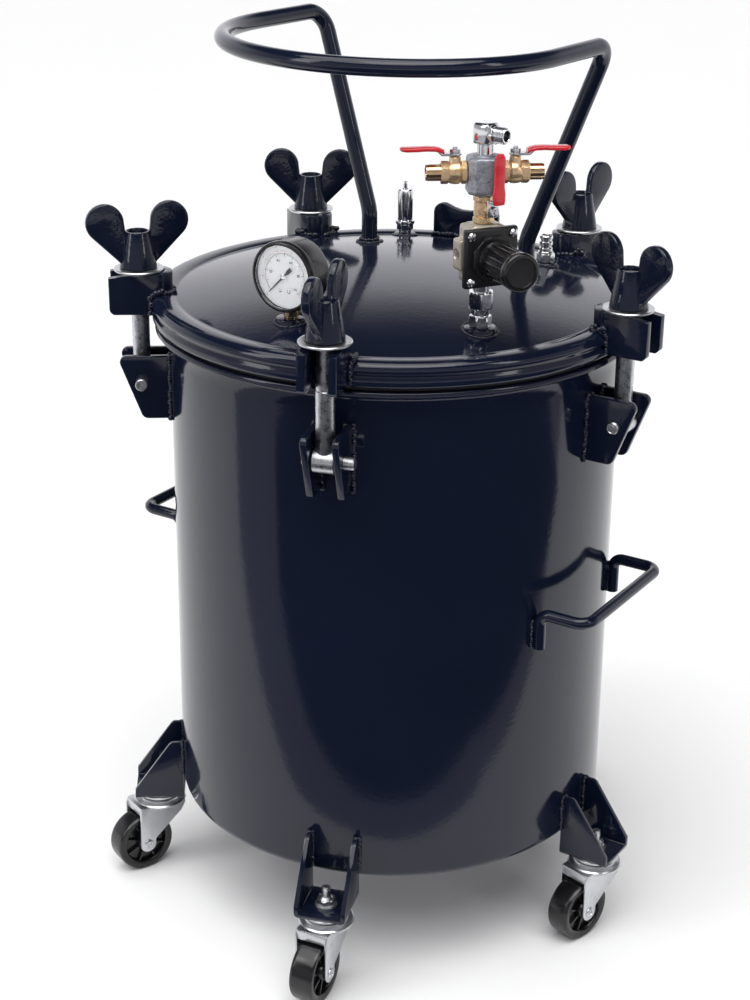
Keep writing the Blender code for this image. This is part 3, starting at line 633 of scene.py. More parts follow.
def threaded(radius, z0, z1, pitch, depth, mat, place=None, steps=36):
    """Core and wound ridge of a screw from z0 to z1 about Z."""
    core = spun([(0.0, z0), (radius - depth, z0), (radius - depth * 0.92, z1), (0.0, z1)], steps)
    bmesh.ops.transform(core, matrix=shift(0, 0, -z0), verts=core.verts)
    return grown("thread", core, TREES["thread"], radius=radius * MM, pitch=pitch * MM,
                 length=(z1 - z0 - pitch) * MM, depth=depth * MM, steps=steps, material=mat,
                 place=(place or Matrix()) @ shift(0, 0, z0))


def around(bm, count, mat, place=None, start=0.0, sweep=360.0):
    return grown("copy", bm, TREES["ring"], count=count, start=math.radians(start),
                 sweep=math.radians(sweep), material=mat, place=place)


def bead(path, mat, place=None, radius=None, seed=3, rough=0.35):
    """Lumpy weld along a polyline in millimetres."""
    bm = bmesh.new()
    pts = [bm.verts.new(Vector(p) * MM) for p in path]
    for a, b in zip(pts, pts[1:]):
        bm.edges.new((a, b))
    size = radius or mm("pot_clamps", "weld")
    return grown("weld", bm, TREES["weld"], radius=size * MM, spacing=size * 0.8 * MM, roughness=rough,
                 seed=seed, material=mat, place=place)


TREES = {}


# ---- shader groups ----
def group_with(name, inputs, outputs):
    group = bpy.data.node_groups.new(name, "ShaderNodeTree")
    for label, value in inputs:
        socket = group.interface.new_socket(label, in_out="INPUT", socket_type="NodeSocketFloat")
        socket.default_value = value
    for label in outputs:
        group.interface.new_socket(label, in_out="OUTPUT", socket_type="NodeSocketFloat")
    return group, group.nodes.new("NodeGroupInput").outputs, group.nodes.new("NodeGroupOutput").inputs


def mottle_group():
    """Cloudy value between two limits, with fine grain laid over it."""
    group, given, out = group_with("Mottle", [("Scale", 120.0), ("Grain", 900.0), ("Grain Share", 0.35),
                                              ("Low", 0.0), ("High", 1.0)], ["Value", "Height"])
    place = add(group, "ShaderNodeTexCoord").outputs["Object"]
    cloud = add(group, "ShaderNodeTexNoise", [("Vector", place), ("Scale", given["Scale"]), ("Detail", 5.0),
                                              ("Roughness", 0.6)])
    grain = add(group, "ShaderNodeTexNoise",
                [("Vector", place), ("Scale", given["Grain"]), ("Detail", 2.0)])
    both = add(group, "ShaderNodeMix", data_type="FLOAT")
    group.links.new(given["Grain Share"], both.inputs[0])
    group.links.new(cloud.outputs[0], both.inputs[2])
    group.links.new(grain.outputs[0], both.inputs[3])
    fit = add(group, "ShaderNodeMapRange",
              [("Value", both.outputs[0]), ("From Min", 0.3), ("From Max", 0.7),
                                            ("To Min", given["Low"]), ("To Max", given["High"])])
    group.links.new(fit.outputs[0], out["Value"])
    group.links.new(both.outputs[0], out["Height"])
    return group


def cast_group():
    """Skin of a sand casting or of thick paint: round pimples and shallow waves."""
    group, given, out = group_with("Cast skin", [("Scale", 420.0), ("Waves", 60.0)], ["Height"])
    place = add(group, "ShaderNodeTexCoord").outputs["Object"]
    cells = add(group, "ShaderNodeTexVoronoi", [("Vector", place), ("Scale", given["Scale"])],
                feature="SMOOTH_F1")
    waves = add(group, "ShaderNodeTexNoise",
                [("Vector", place), ("Scale", given["Waves"]), ("Detail", 3.0)])
    both = add(group, "ShaderNodeMath", [(0, waves.outputs[0]), (1, 2.0), (2, cells.outputs["Distance"])],
               operation="MULTIPLY_ADD")
    group.links.new(both.outputs[0], out["Height"])
    return group


GROUPS = {}


def surface(name, colour, roughness, metallic=0.0, mottle=None, rough_range=None, shade=None, bump=0.0,
            cast=None, **shader_values):
    """Principled material; colour and roughness vary by the mottle group, the skin by a bump."""
    mat = bpy.data.materials.new(name)
    mat.use_nodes = True
    tree = mat.node_tree
    shader = tree.nodes["Principled BSDF"]
    shader.inputs["Base Color"].default_value = (*colour, 1.0)
    shader.inputs["Roughness"].default_value = roughness
    shader.inputs["Metallic"].default_value = metallic
    for key, value in shader_values.items():
        shader.inputs[key.replace("_", " ")].default_value = value
    scale, grain, part = mottle or (90.0, 700.0, 0.35)
    cloud = add(tree, "ShaderNodeGroup", node_tree=GROUPS["mottle"])
    for key, value in (("Scale", scale), ("Grain", grain), ("Grain Share", part)):
        cloud.inputs[key].default_value = value
    ramp = add(tree, "ShaderNodeMix", data_type="RGBA")
    dark, light = shade or (0.85, 1.15)
    ramp.inputs[6].default_value = (*(c * dark for c in colour), 1.0)
    ramp.inputs[7].default_value = (*(min(c * light, 1.0) for c in colour), 1.0)
    tree.links.new(cloud.outputs["Value"], ramp.inputs[0])
    tree.links.new(ramp.outputs[2], shader.inputs["Base Color"])
    lo, hi = rough_range or (roughness * 0.8, roughness * 1.25)
    gloss = add(tree, "ShaderNodeMapRange", [("Value", cloud.outputs["Value"]), ("To Min", lo),
                                             ("To Max", hi)])
    tree.links.new(gloss.outputs[0], shader.inputs["Roughness"])
    if bump:
        relief = add(tree, "ShaderNodeBump", [("Strength", bump), ("Distance", 0.0006)])
        source = cloud.outputs["Height"]
        if cast:
            skin = add(tree, "ShaderNodeGroup", node_tree=GROUPS["cast"])
            skin.inputs["Scale"].default_value, skin.inputs["Waves"].default_value = cast
            source = skin.outputs[0]
        tree.links.new(source, relief.inputs["Height"])
        tree.links.new(relief.outputs[0], shader.inputs["Normal"])
    return mat


LOOK = {}


def make_materials():
    paint = setting("pot_finishes")
    GROUPS["mottle"] = mottle_group()
    GROUPS["cast"] = cast_group()
    TREES["thread"], TREES["ring"], TREES["weld"] = thread_tree(), ring_tree(), weld_tree()
    navy = tuple(paint.navy)
    gloss = paint.paint_gloss
    zinc, chrome, brass = tuple(paint.zinc), tuple(paint.chrome), tuple(paint.brass)
    black = tuple(paint.plastic)
    LOOK["navy"] = surface("Navy powder coat", navy, gloss, mottle=(7.0, 320.0, 0.12), shade=(0.9, 1.1),
                           rough_range=(gloss * 0.9, gloss * 1.2), bump=paint.ripple, cast=(300.0, 26.0),
                           IOR=1.46)
    LOOK["navy_cast"] = surface("Navy coat on castings", navy, gloss * 1.15, mottle=(60.0, 700.0, 0.3),
                                bump=0.14, cast=(420.0, 90.0), IOR=1.46)
    LOOK["navy_weld"] = surface("Navy coat on weld", navy, gloss * 0.9, bump=0.5, cast=(420.0, 200.0),
                                IOR=1.5)
    LOOK["bolt"] = surface("Zinc plated bolt", zinc, 0.3, 1.0, mottle=(260.0, 1500.0, 0.45),
                           shade=(0.62, 1.2), rough_range=(0.18, 0.46), bump=0.28)
    LOOK["zinc"] = surface("Zinc plated sheet", zinc, 0.3, 1.0, mottle=(45.0, 900.0, 0.3),
                           shade=(0.82, 1.12), rough_range=(0.24, 0.4), bump=0.04)
    LOOK["chrome"] = surface("Bright plate", chrome, 0.09, 1.0, mottle=(160.0, 1200.0, 0.3),
                             shade=(0.8, 1.1), rough_range=(0.05, 0.16), bump=0.03)
    LOOK["steel"] = surface("Pressed steel lever", chrome, 0.22, 1.0, mottle=(120.0, 900.0, 0.4),
                            shade=(0.7, 1.05), bump=0.06)
    LOOK["brass"] = surface("Forged brass", brass, 0.42, 0.85, mottle=(110.0, 1100.0, 0.35),
                            shade=(0.75, 1.1),
                            rough_range=(0.22, 0.42), bump=0.10, cast=(900.0, 200.0))
    LOOK["brass_cut"] = surface("Machined brass", brass, 0.16, 1.0, mottle=(140.0, 1200.0, 0.3),
                                shade=(0.7, 1.1), bump=0.04)
    LOOK["vinyl"] = surface("Dipped vinyl", tuple(paint.vinyl), 0.22, mottle=(90.0, 500.0, 0.2),
                            shade=(0.78, 1.12), rough_range=(0.16, 0.3), bump=0.12, cast=(260.0, 120.0),
                            Coat_Weight=0.5, Coat_Roughness=0.08)
    LOOK["casting"] = surface("Zinc casting", tuple(paint.casting), 0.42, 0.75, mottle=(150.0, 900.0, 0.4),
                              shade=(0.6, 1.25), rough_range=(0.3, 0.55), bump=0.3, cast=(620.0, 160.0))
    LOOK["regulator"] = surface("Lacquered die casting", tuple(paint.regulator), 0.34, 0.55,
                                mottle=(130.0, 900.0, 0.4), shade=(0.85, 1.12), bump=0.06)
    LOOK["black"] = surface("Gloss black plastic", black, 0.2, mottle=(80.0, 800.0, 0.4),
                            rough_range=(0.15, 0.28), bump=0.03)
    LOOK["satin"] = surface("Satin black plastic", black, 0.3,
                            mottle=(120.0, 1400.0, 0.6), rough_range=(0.25, 0.36), bump=0.06)
    LOOK["tread"] = surface("Wheel tread", tuple(c * 2.2 for c in black), 0.5, mottle=(55.0, 900.0, 0.4),
                            shade=(0.7, 1.6), rough_range=(0.4, 0.62), bump=0.12)
    LOOK["rubber"] = surface("Seal rubber", (0.012, 0.012, 0.013), 0.6, mottle=(90.0, 900.0, 0.5), bump=0.1)
    # The dial face has a faint painted glow: its white emission brightens it beyond what the lamps give.
    LOOK["dial"] = surface("Dial face with painted glow", tuple(paint.dial), 0.45, mottle=(30.0, 300.0, 0.2),
                           shade=(0.97, 1.03), Emission_Color=(1.0, 1.0, 1.0, 1.0), Emission_Strength=0.22)
    LOOK["ink"] = surface("Black print", (0.01, 0.01, 0.012), 0.5)
    LOOK["red_ink"] = surface("Red print", (0.55, 0.02, 0.02), 0.5)
    LOOK["inside"] = surface("Bare inner wall", (0.34, 0.34, 0.35), 0.4, 0.8, mottle=(14.0, 500.0, 0.3),
                             shade=(0.8, 1.1), bump=0.05)
    LOOK["glass"] = surface("Gauge glass", (0.98, 0.99, 1.0), 0.02, rough_range=(0.015, 0.03),
                            shade=(0.99, 1.0), Transmission_Weight=1.0, IOR=1.45)


# ---- vessel and lid ----
def make_vessel():
    wall = mm("pot_vessel", "wall")
    steps = setting("pot_vessel").facets
    chine = mm("pot_vessel", "chine")
    inner = TANK_R - wall
    floor = TANK_Z0 + wall
    outside = [(TANK_R - chine, TANK_Z0)]
    outside += arc(TANK_R - chine, TANK_Z0 + chine, chine, -90.0, 0.0, 8)[1:]
    lip = [(TANK_R, RIM_Z - 10.0), (TANK_R + 1.2, RIM_Z - 7.6), (RIM_R - 1.8, RIM_Z - 5.2),
           (RIM_R, RIM_Z - 3.8),
           (RIM_R, RIM_Z - 1.2), (RIM_R - 1.2, RIM_Z)]
    inside = [(inner, RIM_Z), (inner, floor + 6.0)] + arc(inner - 6.0, floor + 6.0, 6.0, 0.0, -90.0, 5)[1:]
    rings = [(TANK_R, TANK_Z0 + chine + (RIM_Z - 20.0 - TANK_Z0 - chine) * k / 6) for k in range(1, 7)]
    profile = [(0.0, TANK_Z0)] + outside + rings + lip + inside + [(0.0, floor)]
    shell = spun(profile, steps)
    for face in shell.faces:
        mid = face.calc_center_median() / MM
        within = math.hypot(mid.x, mid.y) < inner + 0.4 and mid.z > floor - 0.4
        face.material_index = 1 if within else 0
    obj = piece("vessel_shell", shell, None, "vessel", "navy_paint", "tank_shell", sharp=50.0)
    obj.data.materials.append(LOOK["navy"])
    obj.data.materials.append(LOOK["inside"])
    lo, hi = low("lid_gasket"), high("lid_gasket")
    r0, r1 = TANK_R - wall + 1.0, hi.y
    seal = [(r0, lo.z), (r1 - 0.6, lo.z), (r1, (lo.z + hi.z) / 2), (r1 - 0.6, hi.z), (r0, hi.z)]
    piece("lid_seal", spun(seal, steps), LOOK["rubber"], "vessel", "seal_rubber", "lid_gasket")


def lid_profile():
    groove = mm("pot_vessel", "groove")
    shell = mm("pot_vessel", "lid_wall")
    z0 = LID_Z0
    dome = [(DOME_R * math.sin(math.pi / 2 * k / 24), 0.0) for k in range(25)]
    dome = [(r, dome_z(r)) for r, _ in dome]
    edge = [(DOME_R + 1.2, EDGE_Z - 1.3), (DOME_R + 2.6, EDGE_Z - 1.0), (DOME_R + 5.0, EDGE_Z - 0.1),
            (DOME_R + 9.0, EDGE_Z), (LID_R - 5.5, EDGE_Z), (LID_R - 2.2, EDGE_Z - 1.2),
            (LID_R - 0.4, EDGE_Z - 3.6), (LID_R, EDGE_Z - 6.0), (LID_R - 0.3, EDGE_Z - 7.6),
            (LID_R - groove, EDGE_Z - 9.2), (LID_R - groove, EDGE_Z - 10.4), (LID_R - 0.3, EDGE_Z - 11.8),
            (LID_R, EDGE_Z - 13.2), (LID_R, z0 + 2.4), (LID_R - 0.8, z0 + 0.7), (LID_R - 2.5, z0)]
    under = DOME_R - 5.0
    inside = [(under, z0)]
    inside += [(r, dome_z(r) - shell) for r in (under - 8.0, 145.0, 120.0, 90.0, 60.0, 30.0)]
    return dome + edge + inside + [(0.0, dome_z(0.0) - shell)]


def claw_plan():
    slot = 8.2
    outer = slot + mm("pot_clamps", "strip")
    bend = CLAMP_R - 25.6 + outer
    tip_x = CLAMP_R + 22.5
    plan = [(tip_x, outer)] + arc(bend, 0.0, outer, 90.0, 270.0, 16) + [(tip_x, -outer), (tip_x, -slot)]
    return plan + arc(bend, 0.0, slot, 270.0, 90.0, 14) + [(tip_x, slot)], tip_x, bend - outer


def claw(place):
    """Bent strip on the lid's edge, its slot open outwards, with its lower outer corners rounded."""
    plan, tip_x, back = claw_plan()
    z0 = LID_Z0 + 2.4
    body = sheet(plan, z0, CLAW_TOP_Z, 0.9)
    side = [(back - 4.0, z0 - 8.0), (tip_x + 4.0, z0 - 8.0), (tip_x + 4.0, CLAW_TOP_Z + 6.0),
            (tip_x, CLAW_TOP_Z + 6.0), (tip_x, z0 + 5.5)]
    side += arc(tip_x - 5.5, z0 + 5.5, 5.5, 0.0, -90.0, 6)[1:] + [(back - 4.0, z0)]
    upright = Matrix.Rotation(math.radians(90.0), 4, "X")
    trim = sheet(side, -30.0, 30.0, 0.0, upright)
    drop = [(tip_x - 24.0, CLAW_TOP_Z + 0.05), (tip_x + 3.0, CLAW_TOP_Z - 3.4),
            (tip_x + 3.0, CLAW_TOP_Z + 5.0),
            (tip_x - 24.0, CLAW_TOP_Z + 5.0)]
    slope = sheet(drop, -30.0, 30.0, 0.0, upright)
    solid = cut(body, trim, slope)
    bmesh.ops.transform(solid, matrix=place, verts=solid.verts)
    return solid


def make_lid():
    steps = setting("pot_vessel").facets
    shell = spun(lid_profile(), steps)
    piece("lid_shell", shell, LOOK["navy"], "vessel", "navy_paint", "lid", sharp=50.0)
    for tag in TAGS:
        place = clamp_place(tag)
        piece(f"claw_{tag}", claw(place), LOOK["navy"], "vessel", "navy_paint", sharp=40.0)
        piece(f"claw_weld_{tag}", claw_weld(place, int(tag)), LOOK["navy_weld"], "vessel", "navy_paint",
              sharp=180.0)
    make_pads()
    make_lug()


def claw_weld(place, seed):
    """Runs of weld where the claw sits on the lid's edge, and the tack bar beside it."""
    back = CLAMP_R - 25.6
    runs = []
    for s in (-1.0, 1.0):
        edge = [(LID_R + 0.4, s * 15.0, z) for z in (LID_Z0 + 5.0, EDGE_Z - 8.0, EDGE_Z - 2.0)]
        top = [(LID_R - 3.0, s * 15.2, EDGE_Z + 0.6), (back + 10.0, s * 14.6, EDGE_Z + 0.5),
               (back + 3.0, s * 11.5, EDGE_Z + 0.3), (back - 0.6, s * 4.0, EDGE_Z + 0.1)]
        runs.append(bead(edge + top, LOOK["navy_weld"], place, seed=seed * 3 + int(s)))
        lump = [(back + 13.0, s * 15.5, EDGE_Z + 2.2), (back + 7.0, s * 15.5, EDGE_Z + 3.0)]
        runs.append(bead(lump, LOOK["navy_weld"], place, radius=2.6, seed=seed + 9, rough=0.5))
    return joined(*runs)


def fitting_pads():
    """Lid fittings: centre, radius and the height of the pad's top."""
    found = []
    for node, r in (("gauge_case", 11.0), ("union_fitting", 12.0), ("relief_valve", 9.0),
                    ("outlet_fitting", 9.0)):
        centre = GAUGE_PLACE.to_translation() / MM if node == "gauge_case" else axis_of(node)
        found.append((centre.x, centre.y, r, low(node).z - GAP))
    for s in (-1.0, 1.0):
        foot = BOW_PLACE @ Vector((-66.0, s * 75.5, 0.0))
        found.append((foot.x, foot.y, 9.5, low("bow_handle").z - GAP))
    return found


def make_pads():
    pads, welds = [], []
    for k, (x, y, r, top) in enumerate(fitting_pads()):
        base = dome_z(math.hypot(x, y) + r) - 1.6
        profile = [(0.0, base), (r, base), (r, top - 1.0), (r - 0.3, top - 0.3), (r - 1.0, top), (0.0, top)]
        pads.append(spun(profile, 40, shift(x, y, 0)))
        ring = []
        for step in range(33):
            a = math.tau * step / 32
            px, py = x + (r + 0.6) * math.cos(a), y + (r + 0.6) * math.sin(a)
            ring.append((px, py, dome_z(math.hypot(px, py)) + 0.1))
        welds.append(bead(ring, LOOK["navy_weld"], radius=1.2, seed=k + 20, rough=0.2))
    piece("lid_pads", joined(*pads), LOOK["navy"], "vessel", "navy_paint")
    piece("lid_pad_welds", joined(*welds), LOOK["navy_weld"], "vessel", "navy_paint", sharp=180.0)


def make_lug():
    """Saddle-shaped steel lug across the back of the lid."""
    half, top = 28.5, 27.0
    pts = [(-half, -1.0), (half, -1.0)] + arc(half - 8.5, top - 8.5, 8.5, 0.0, 110.0, 8)
    pts += [(11.0, top - 3.2), (4.0, top - 5.0), (-4.0, top - 5.0), (-11.0, top - 3.2)]
    pts += arc(-half + 8.5, top - 8.5, 8.5, 70.0, 180.0, 8)
    a = math.radians(160.0)
    out = Vector((math.sin(a), -math.cos(a), 0.0))
    place = stand(out * (TANK_R - 3.0) + UP * EDGE_Z, out) @ tip(90.0, "Z") @ tip(90.0, "X")
    solid = sheet(pts, -3.0, 3.0, 1.0, place, 3)
    line = [(x, 0.6, s * 3.2) for s in (1.0,) for x in (-half, -12.0, 12.0, half)]
    far = [(x, 0.6, -3.2) for x in (-half, -12.0, 12.0, half)]
    piece("lid_lug", solid, LOOK["navy"], "vessel", "navy_paint")
    welds = joined(bead(line, LOOK["navy_weld"], place, seed=4),
                   bead(far, LOOK["navy_weld"], place, seed=5))
    piece("lid_lug_weld", welds, LOOK["navy_weld"], "vessel", "navy_paint", sharp=180.0)


# ---- clamps ----
def ear_outline():
    top, base = PIN_Z + 21.1, PIN_Z - 29.6
    root = TANK_R + GAP
    pts = [(root, base)] + [(CLAMP_R - 4.5, base)] + arc(CLAMP_R - 4.2, base + 5.6, 5.6, -80.0, -24.0, 5)
    return pts + arc(CLAMP_R + 11.4, top - 5.0, 5.0, -20.0, 90.0, 7) + [(root, top)]


def make_clevises():
    ear = mm("pot_clamps", "ear")
    inner = mm("pot_clamps", "bolt") / 2 + 2.0
    upright = Matrix.Rotation(math.radians(90.0), 4, "X")
    for tag in TAGS:
        place = clamp_place(tag)
        ears, welds = [], []
        for s in (-1.0, 1.0):
            y = -s * (inner + ear / 2)
            ears.append(sheet(ear_outline(), y - ear / 2, y + ear / 2, 0.8, place @ upright, 3))
            for side in (-1.0, 1.0):
                at = s * (inner + ear / 2) + side * (ear / 2 + 0.5)
                seam = math.sqrt(TANK_R ** 2 - at ** 2)
                path = [(seam + 0.9, at, z) for z in (PIN_Z - 29.0, PIN_Z - 5.0, PIN_Z + 20.5)]
                welds.append(bead(path, LOOK["navy_weld"], place, seed=int(tag) * 5 + int(side)))
        piece(f"clevis_ears_{tag}", joined(*ears), LOOK["navy"], "vessel", "navy_paint", f"clevis_{tag}")
        piece(f"clevis_weld_{tag}", joined(*welds), LOOK["navy_weld"], "vessel", "navy_paint", sharp=180.0)
        piece(f"clevis_pin_{tag}", clevis_pin(place @ shift(CLAMP_R, 0.0, PIN_Z)), LOOK["bolt"], "vessel",
              "zinc_plate")


def clevis_pin(place):
    """Pin with a domed, ringed head at one end and a plain stub at the other."""
    head = [(0.0, 16.5), (1.9, 16.5), (2.1, 15.9), (3.4, 15.8), (3.9, 16.3), (4.5, 15.9), (4.9, 15.0),
            (4.9, 14.0)]
    body = [(4.7, 13.0), (4.7, -20.8), (4.1, -21.5), (0.0, -21.5)]
    return spun(head + body, 36, place @ tip(90.0, "X"))


def make_bolts():
    bolt = mm("pot_clamps", "bolt")
    pitch = mm("pot_clamps", "pitch")
    for tag in TAGS:
        place = clamp_place(tag) @ shift(CLAMP_R, 0.0, PIN_Z)
        wide = bolt / 2 + 1.6
        eye = cut(spun([(0.0, -wide), (7.4, -wide), (8.5, -wide + 1.0), (8.5, wide - 1.0), (7.4, wide),
                        (0.0, wide)], 40, tip(90.0, "X")),
                  spun([(0.0, -20.0), (5.3, -20.0), (5.3, 20.0), (0.0, 20.0)], 32, tip(90.0, "X")))
        r = bolt / 2
        neck = 52.0
        shank = spun([(0.0, 6.8), (r - 0.8, 6.8), (r - 0.2, 9.0), (r - 0.15, neck), (r - 1.2, neck + 1.2),
                      (0.0, neck + 1.2)], 40)
        top = BOLT_TOP_Z - PIN_Z
        screw = threaded(r, neck, top, pitch, 1.15, LOOK["bolt"])
        whole = joined(eye, shank, screw)
        bmesh.ops.transform(whole, matrix=place, verts=whole.verts)
        piece(f"swing_bolt_body_{tag}", whole, LOOK["bolt"], f"bolt_{tag}", "zinc_plate",
              f"swing_bolt_{tag}", sharp=32.0)


def make_washers():
    hole, r = mm("pot_clamps", "bolt") / 2 + 0.45, 19.0
    for tag in TAGS:
        t = 2.0
        profile = [(hole, 0.2), (hole + 0.3, 0.0), (r - 0.6, 0.0), (r, 0.6), (r, t - 0.6), (r - 0.6, t),
                   (hole + 0.3, t), (hole, t - 0.2)]
        place = clamp_place(tag) @ shift(CLAMP_R, 0.0, WASHER_Z)
        piece(f"flat_washer_{tag}", spun(profile, 56, place), LOOK["zinc"], f"washer_{tag}", "zinc_plate",
              f"washer_{tag}")


def wing_nut():
    """Cast wing nut about Z, its wings along X, before its place is applied."""
    bolt = mm("pot_clamps", "bolt")
    boss = spun([(0.0, 0.0), (13.6, 0.0), (14.2, 0.6), (9.5, 27.6), (9.0, 28.2), (0.0, 28.2)], 56)
    lobes = []
    upright = Matrix.Rotation(math.radians(90.0), 4, "X")
    x, z, r, half = 24.7, 35.4, 14.6, 3.0
    foot = x + math.sqrt(0.5) * r - (z - math.sqrt(0.5) * r - 2.0)
    for s in (-1.0, 1.0):
        pts = [(4.0, 2.0), (foot, 2.0)] + arc(x, z, r, -45.0, 180.0, 18) + [(9.0, 25.2), (4.0, 22.2)]
        lobes.append(sheet([(s * a, b) for a, b in pts], -half, half, 1.5, upright, 3))
    bore = spun([(0.0, -3.0), (bolt / 2 + 0.45, -3.0), (bolt / 2 + 0.45, 27.3), (bolt / 2 + 1.3, 29.0),
                 (0.0, 29.0)], 40)
    solid = cut(boss, bore, add=lobes)
    inner = [e for e in solid.edges if e.is_manifold and e.calc_face_angle_signed(0.0) < -0.5]
    bmesh.ops.bevel(solid, geom=inner, offset=0.9 * MM, segments=2, profile=0.5, affect="EDGES",
                    clamp_overlap=True)
    return solid


def make_wing_nuts():
    master = wing_nut()
    for tag, extra in zip(TAGS, (14.0, -4.0, -20.0, 8.0, 66.0)):
        copy = master.copy()
        place = clamp_place(tag) @ shift(CLAMP_R, 0.0, NUT_Z) @ tip(extra, "Z")
        bmesh.ops.transform(copy, matrix=place, verts=copy.verts)
        piece(f"wing_nut_body_{tag}", copy, LOOK["navy_cast"], f"nut_{tag}", "navy_paint",
              f"wing_nut_{tag}",
              sharp=42.0)
    master.free()


# ---- casters ----
def bracket(place):
    """Channel bent from one sheet: a floor with round bends and two cheeks with sloping fronts."""
    t = mm("pot_casters", "sheet")
    half, z0, top = 20.2, BRACKET_Z, BRACKET_TOP_Z
    out, root = TANK_R + 40.2, TANK_R - 0.6
    bend = 4.5
    outer = [(half, top + 4.0)] + arc(half - bend, z0 + bend, bend, 0.0, -90.0, 6)
    outer += arc(-half + bend, z0 + bend, bend, -90.0, -180.0, 6) + [(-half, top + 4.0)]
    inner = [(-half + t, top + 4.0)] + arc(-half + bend, z0 + bend, bend - t, 180.0, 270.0, 6)
    inner += arc(half - bend, z0 + bend, bend - t, -90.0, 0.0, 6) + [(half - t, top + 4.0)]
    along = Matrix(((0, 0, 1, 0), (1, 0, 0, 0), (0, 1, 0, 0), (0, 0, 0, 1)))
    channel = sheet(outer + inner, root, out, 0.0, along)
    upright = Matrix.Rotation(math.radians(90.0), 4, "X")
    side = [(root - 5.0, z0 - 4.0), (out - 2.0, z0 - 4.0), (out - 0.01, z0 + 2.0), (out - 0.01, z0 + 9.9)]
    side += [(TANK_R + 9.4 + 1.2, top - 1.5)] + [(TANK_R + 8.2, top)]
    side += [(TANK_R - 0.4, top), (TANK_R - 0.4, TANK_Z0 - 0.6), (TANK_R - 0.5, z0 + 11.0)]
    side += [(root - 5.0, z0 + 11.0)]
    keep = sheet(side, -40.0, 40.0, 0.0, upright)
    base, tool = holder(channel, "channel"), holder(keep, "keep")
    for kind, target in (("INTERSECT", tool),):
        step = base.modifiers.new("trim", "BOOLEAN")
        step.operation, step.solver, step.object = kind, "EXACT", target
    soft = base.modifiers.new("edges", "BEVEL")
    soft.width, soft.segments, soft.angle_limit = 0.7 * MM, 2, math.radians(40.0)
    mesh = baked(base)
    for obj in (base, tool):
        bpy.data.objects.remove(obj)
    bm = bmesh.new()
    bm.from_mesh(mesh)
    bmesh.ops.transform(bm, matrix=place, verts=bm.verts)
    return bm


def make_brackets():
    t = mm("pot_casters", "sheet")
    for tag in TAGS:
        place = caster_place(tag)
        piece(f"bracket_{tag}", bracket(place), LOOK["navy"], "vessel", "navy_paint",
              f"caster_bracket_{tag}")
        welds = []
        for s in (-1.0, 1.0):
            for side in (-1.0, 1.0):
                y = s * (20.2 - t / 2) + side * (t / 2 + 0.2)
                seam = math.sqrt(TANK_R ** 2 - y ** 2)
                path = [(seam + 0.7, y, z) for z in (TANK_Z0 + 8.0, BRACKET_TOP_Z - 1.0)]
                path.append((seam + 3.0, s * (20.2 - t / 2), BRACKET_TOP_Z + 0.3))
                welds.append(bead(path, LOOK["navy_weld"], place, radius=1.45, seed=int(tag) + int(side)))
        piece(f"bracket_weld_{tag}", joined(*welds), LOOK["navy_weld"], "vessel", "navy_paint", sharp=180.0)
        post = place @ shift(CASTER_R, 0.0, 0.0)
        z = BRACKET_Z + t
        nut = hexed(6.5, z + 1.4, z + 6.5, 0.0, 0.8, post)
        dome = spun([(0.0, z + 8.2), (3.9, z + 8.2), (5.4, z + 6.4), (5.4, z + 6.0), (0.0, z + 6.0)],
                    36, post)
        flat_washer = spun([(4.0, z), (8.6, z), (8.6, z + 1.4), (4.0, z + 1.4)], 40, post)
        stud = threaded(3.95, z, z + 16.0, 1.25, 0.7, LOOK["bolt"], post, 28)
        cap = spun([(0.0, z + 16.4), (2.6, z + 16.4), (3.2, z + 15.4), (0.0, z + 15.4)], 24, post)
        race = [(5.0, BRACKET_Z - 0.1), (17.2, BRACKET_Z - 0.1), (18.0, BRACKET_Z - 0.9),
                (18.0, BRACKET_Z - 2.2), (16.6, BRACKET_Z - 3.4), (5.0, BRACKET_Z - 3.4)]
        rivet = spun([(0.0, FORK_TOP_Z - 11.2), (5.2, FORK_TOP_Z - 11.2), (7.0, FORK_TOP_Z - 9.6),
                      (7.0, FORK_TOP_Z - 8.4), (4.0, FORK_TOP_Z - 8.2), (4.0, BRACKET_Z), (0.0, BRACKET_Z)],
                     32, post)
        whole = joined(nut, dome, flat_washer, stud, cap, spun(race, 48, post), rivet)
        piece(f"caster_stud_{tag}", whole, LOOK["zinc"], "vessel", "zinc_plate")


def fork_leg(s, wide):
    x = 19.0
    leg = [(-17.0, FORK_TOP_Z - 3.9), (-17.2, FORK_TOP_Z - 9.0)]
    leg += [(-13.5, FORK_TOP_Z - 15.5), (x - 7.6, AXLE_Z + 4.0)] + arc(x, AXLE_Z, 7.2, 165.0, 360.0, 12)
    leg += [(x + 6.6, FORK_TOP_Z - 8.0), (x + 4.5, FORK_TOP_Z - 4.0)]
    upright = Matrix.Rotation(math.radians(90.0), 4, "X")
    return sheet(leg, -s * wide - 1.0, -s * wide + 1.0, 0.5, upright, 2)


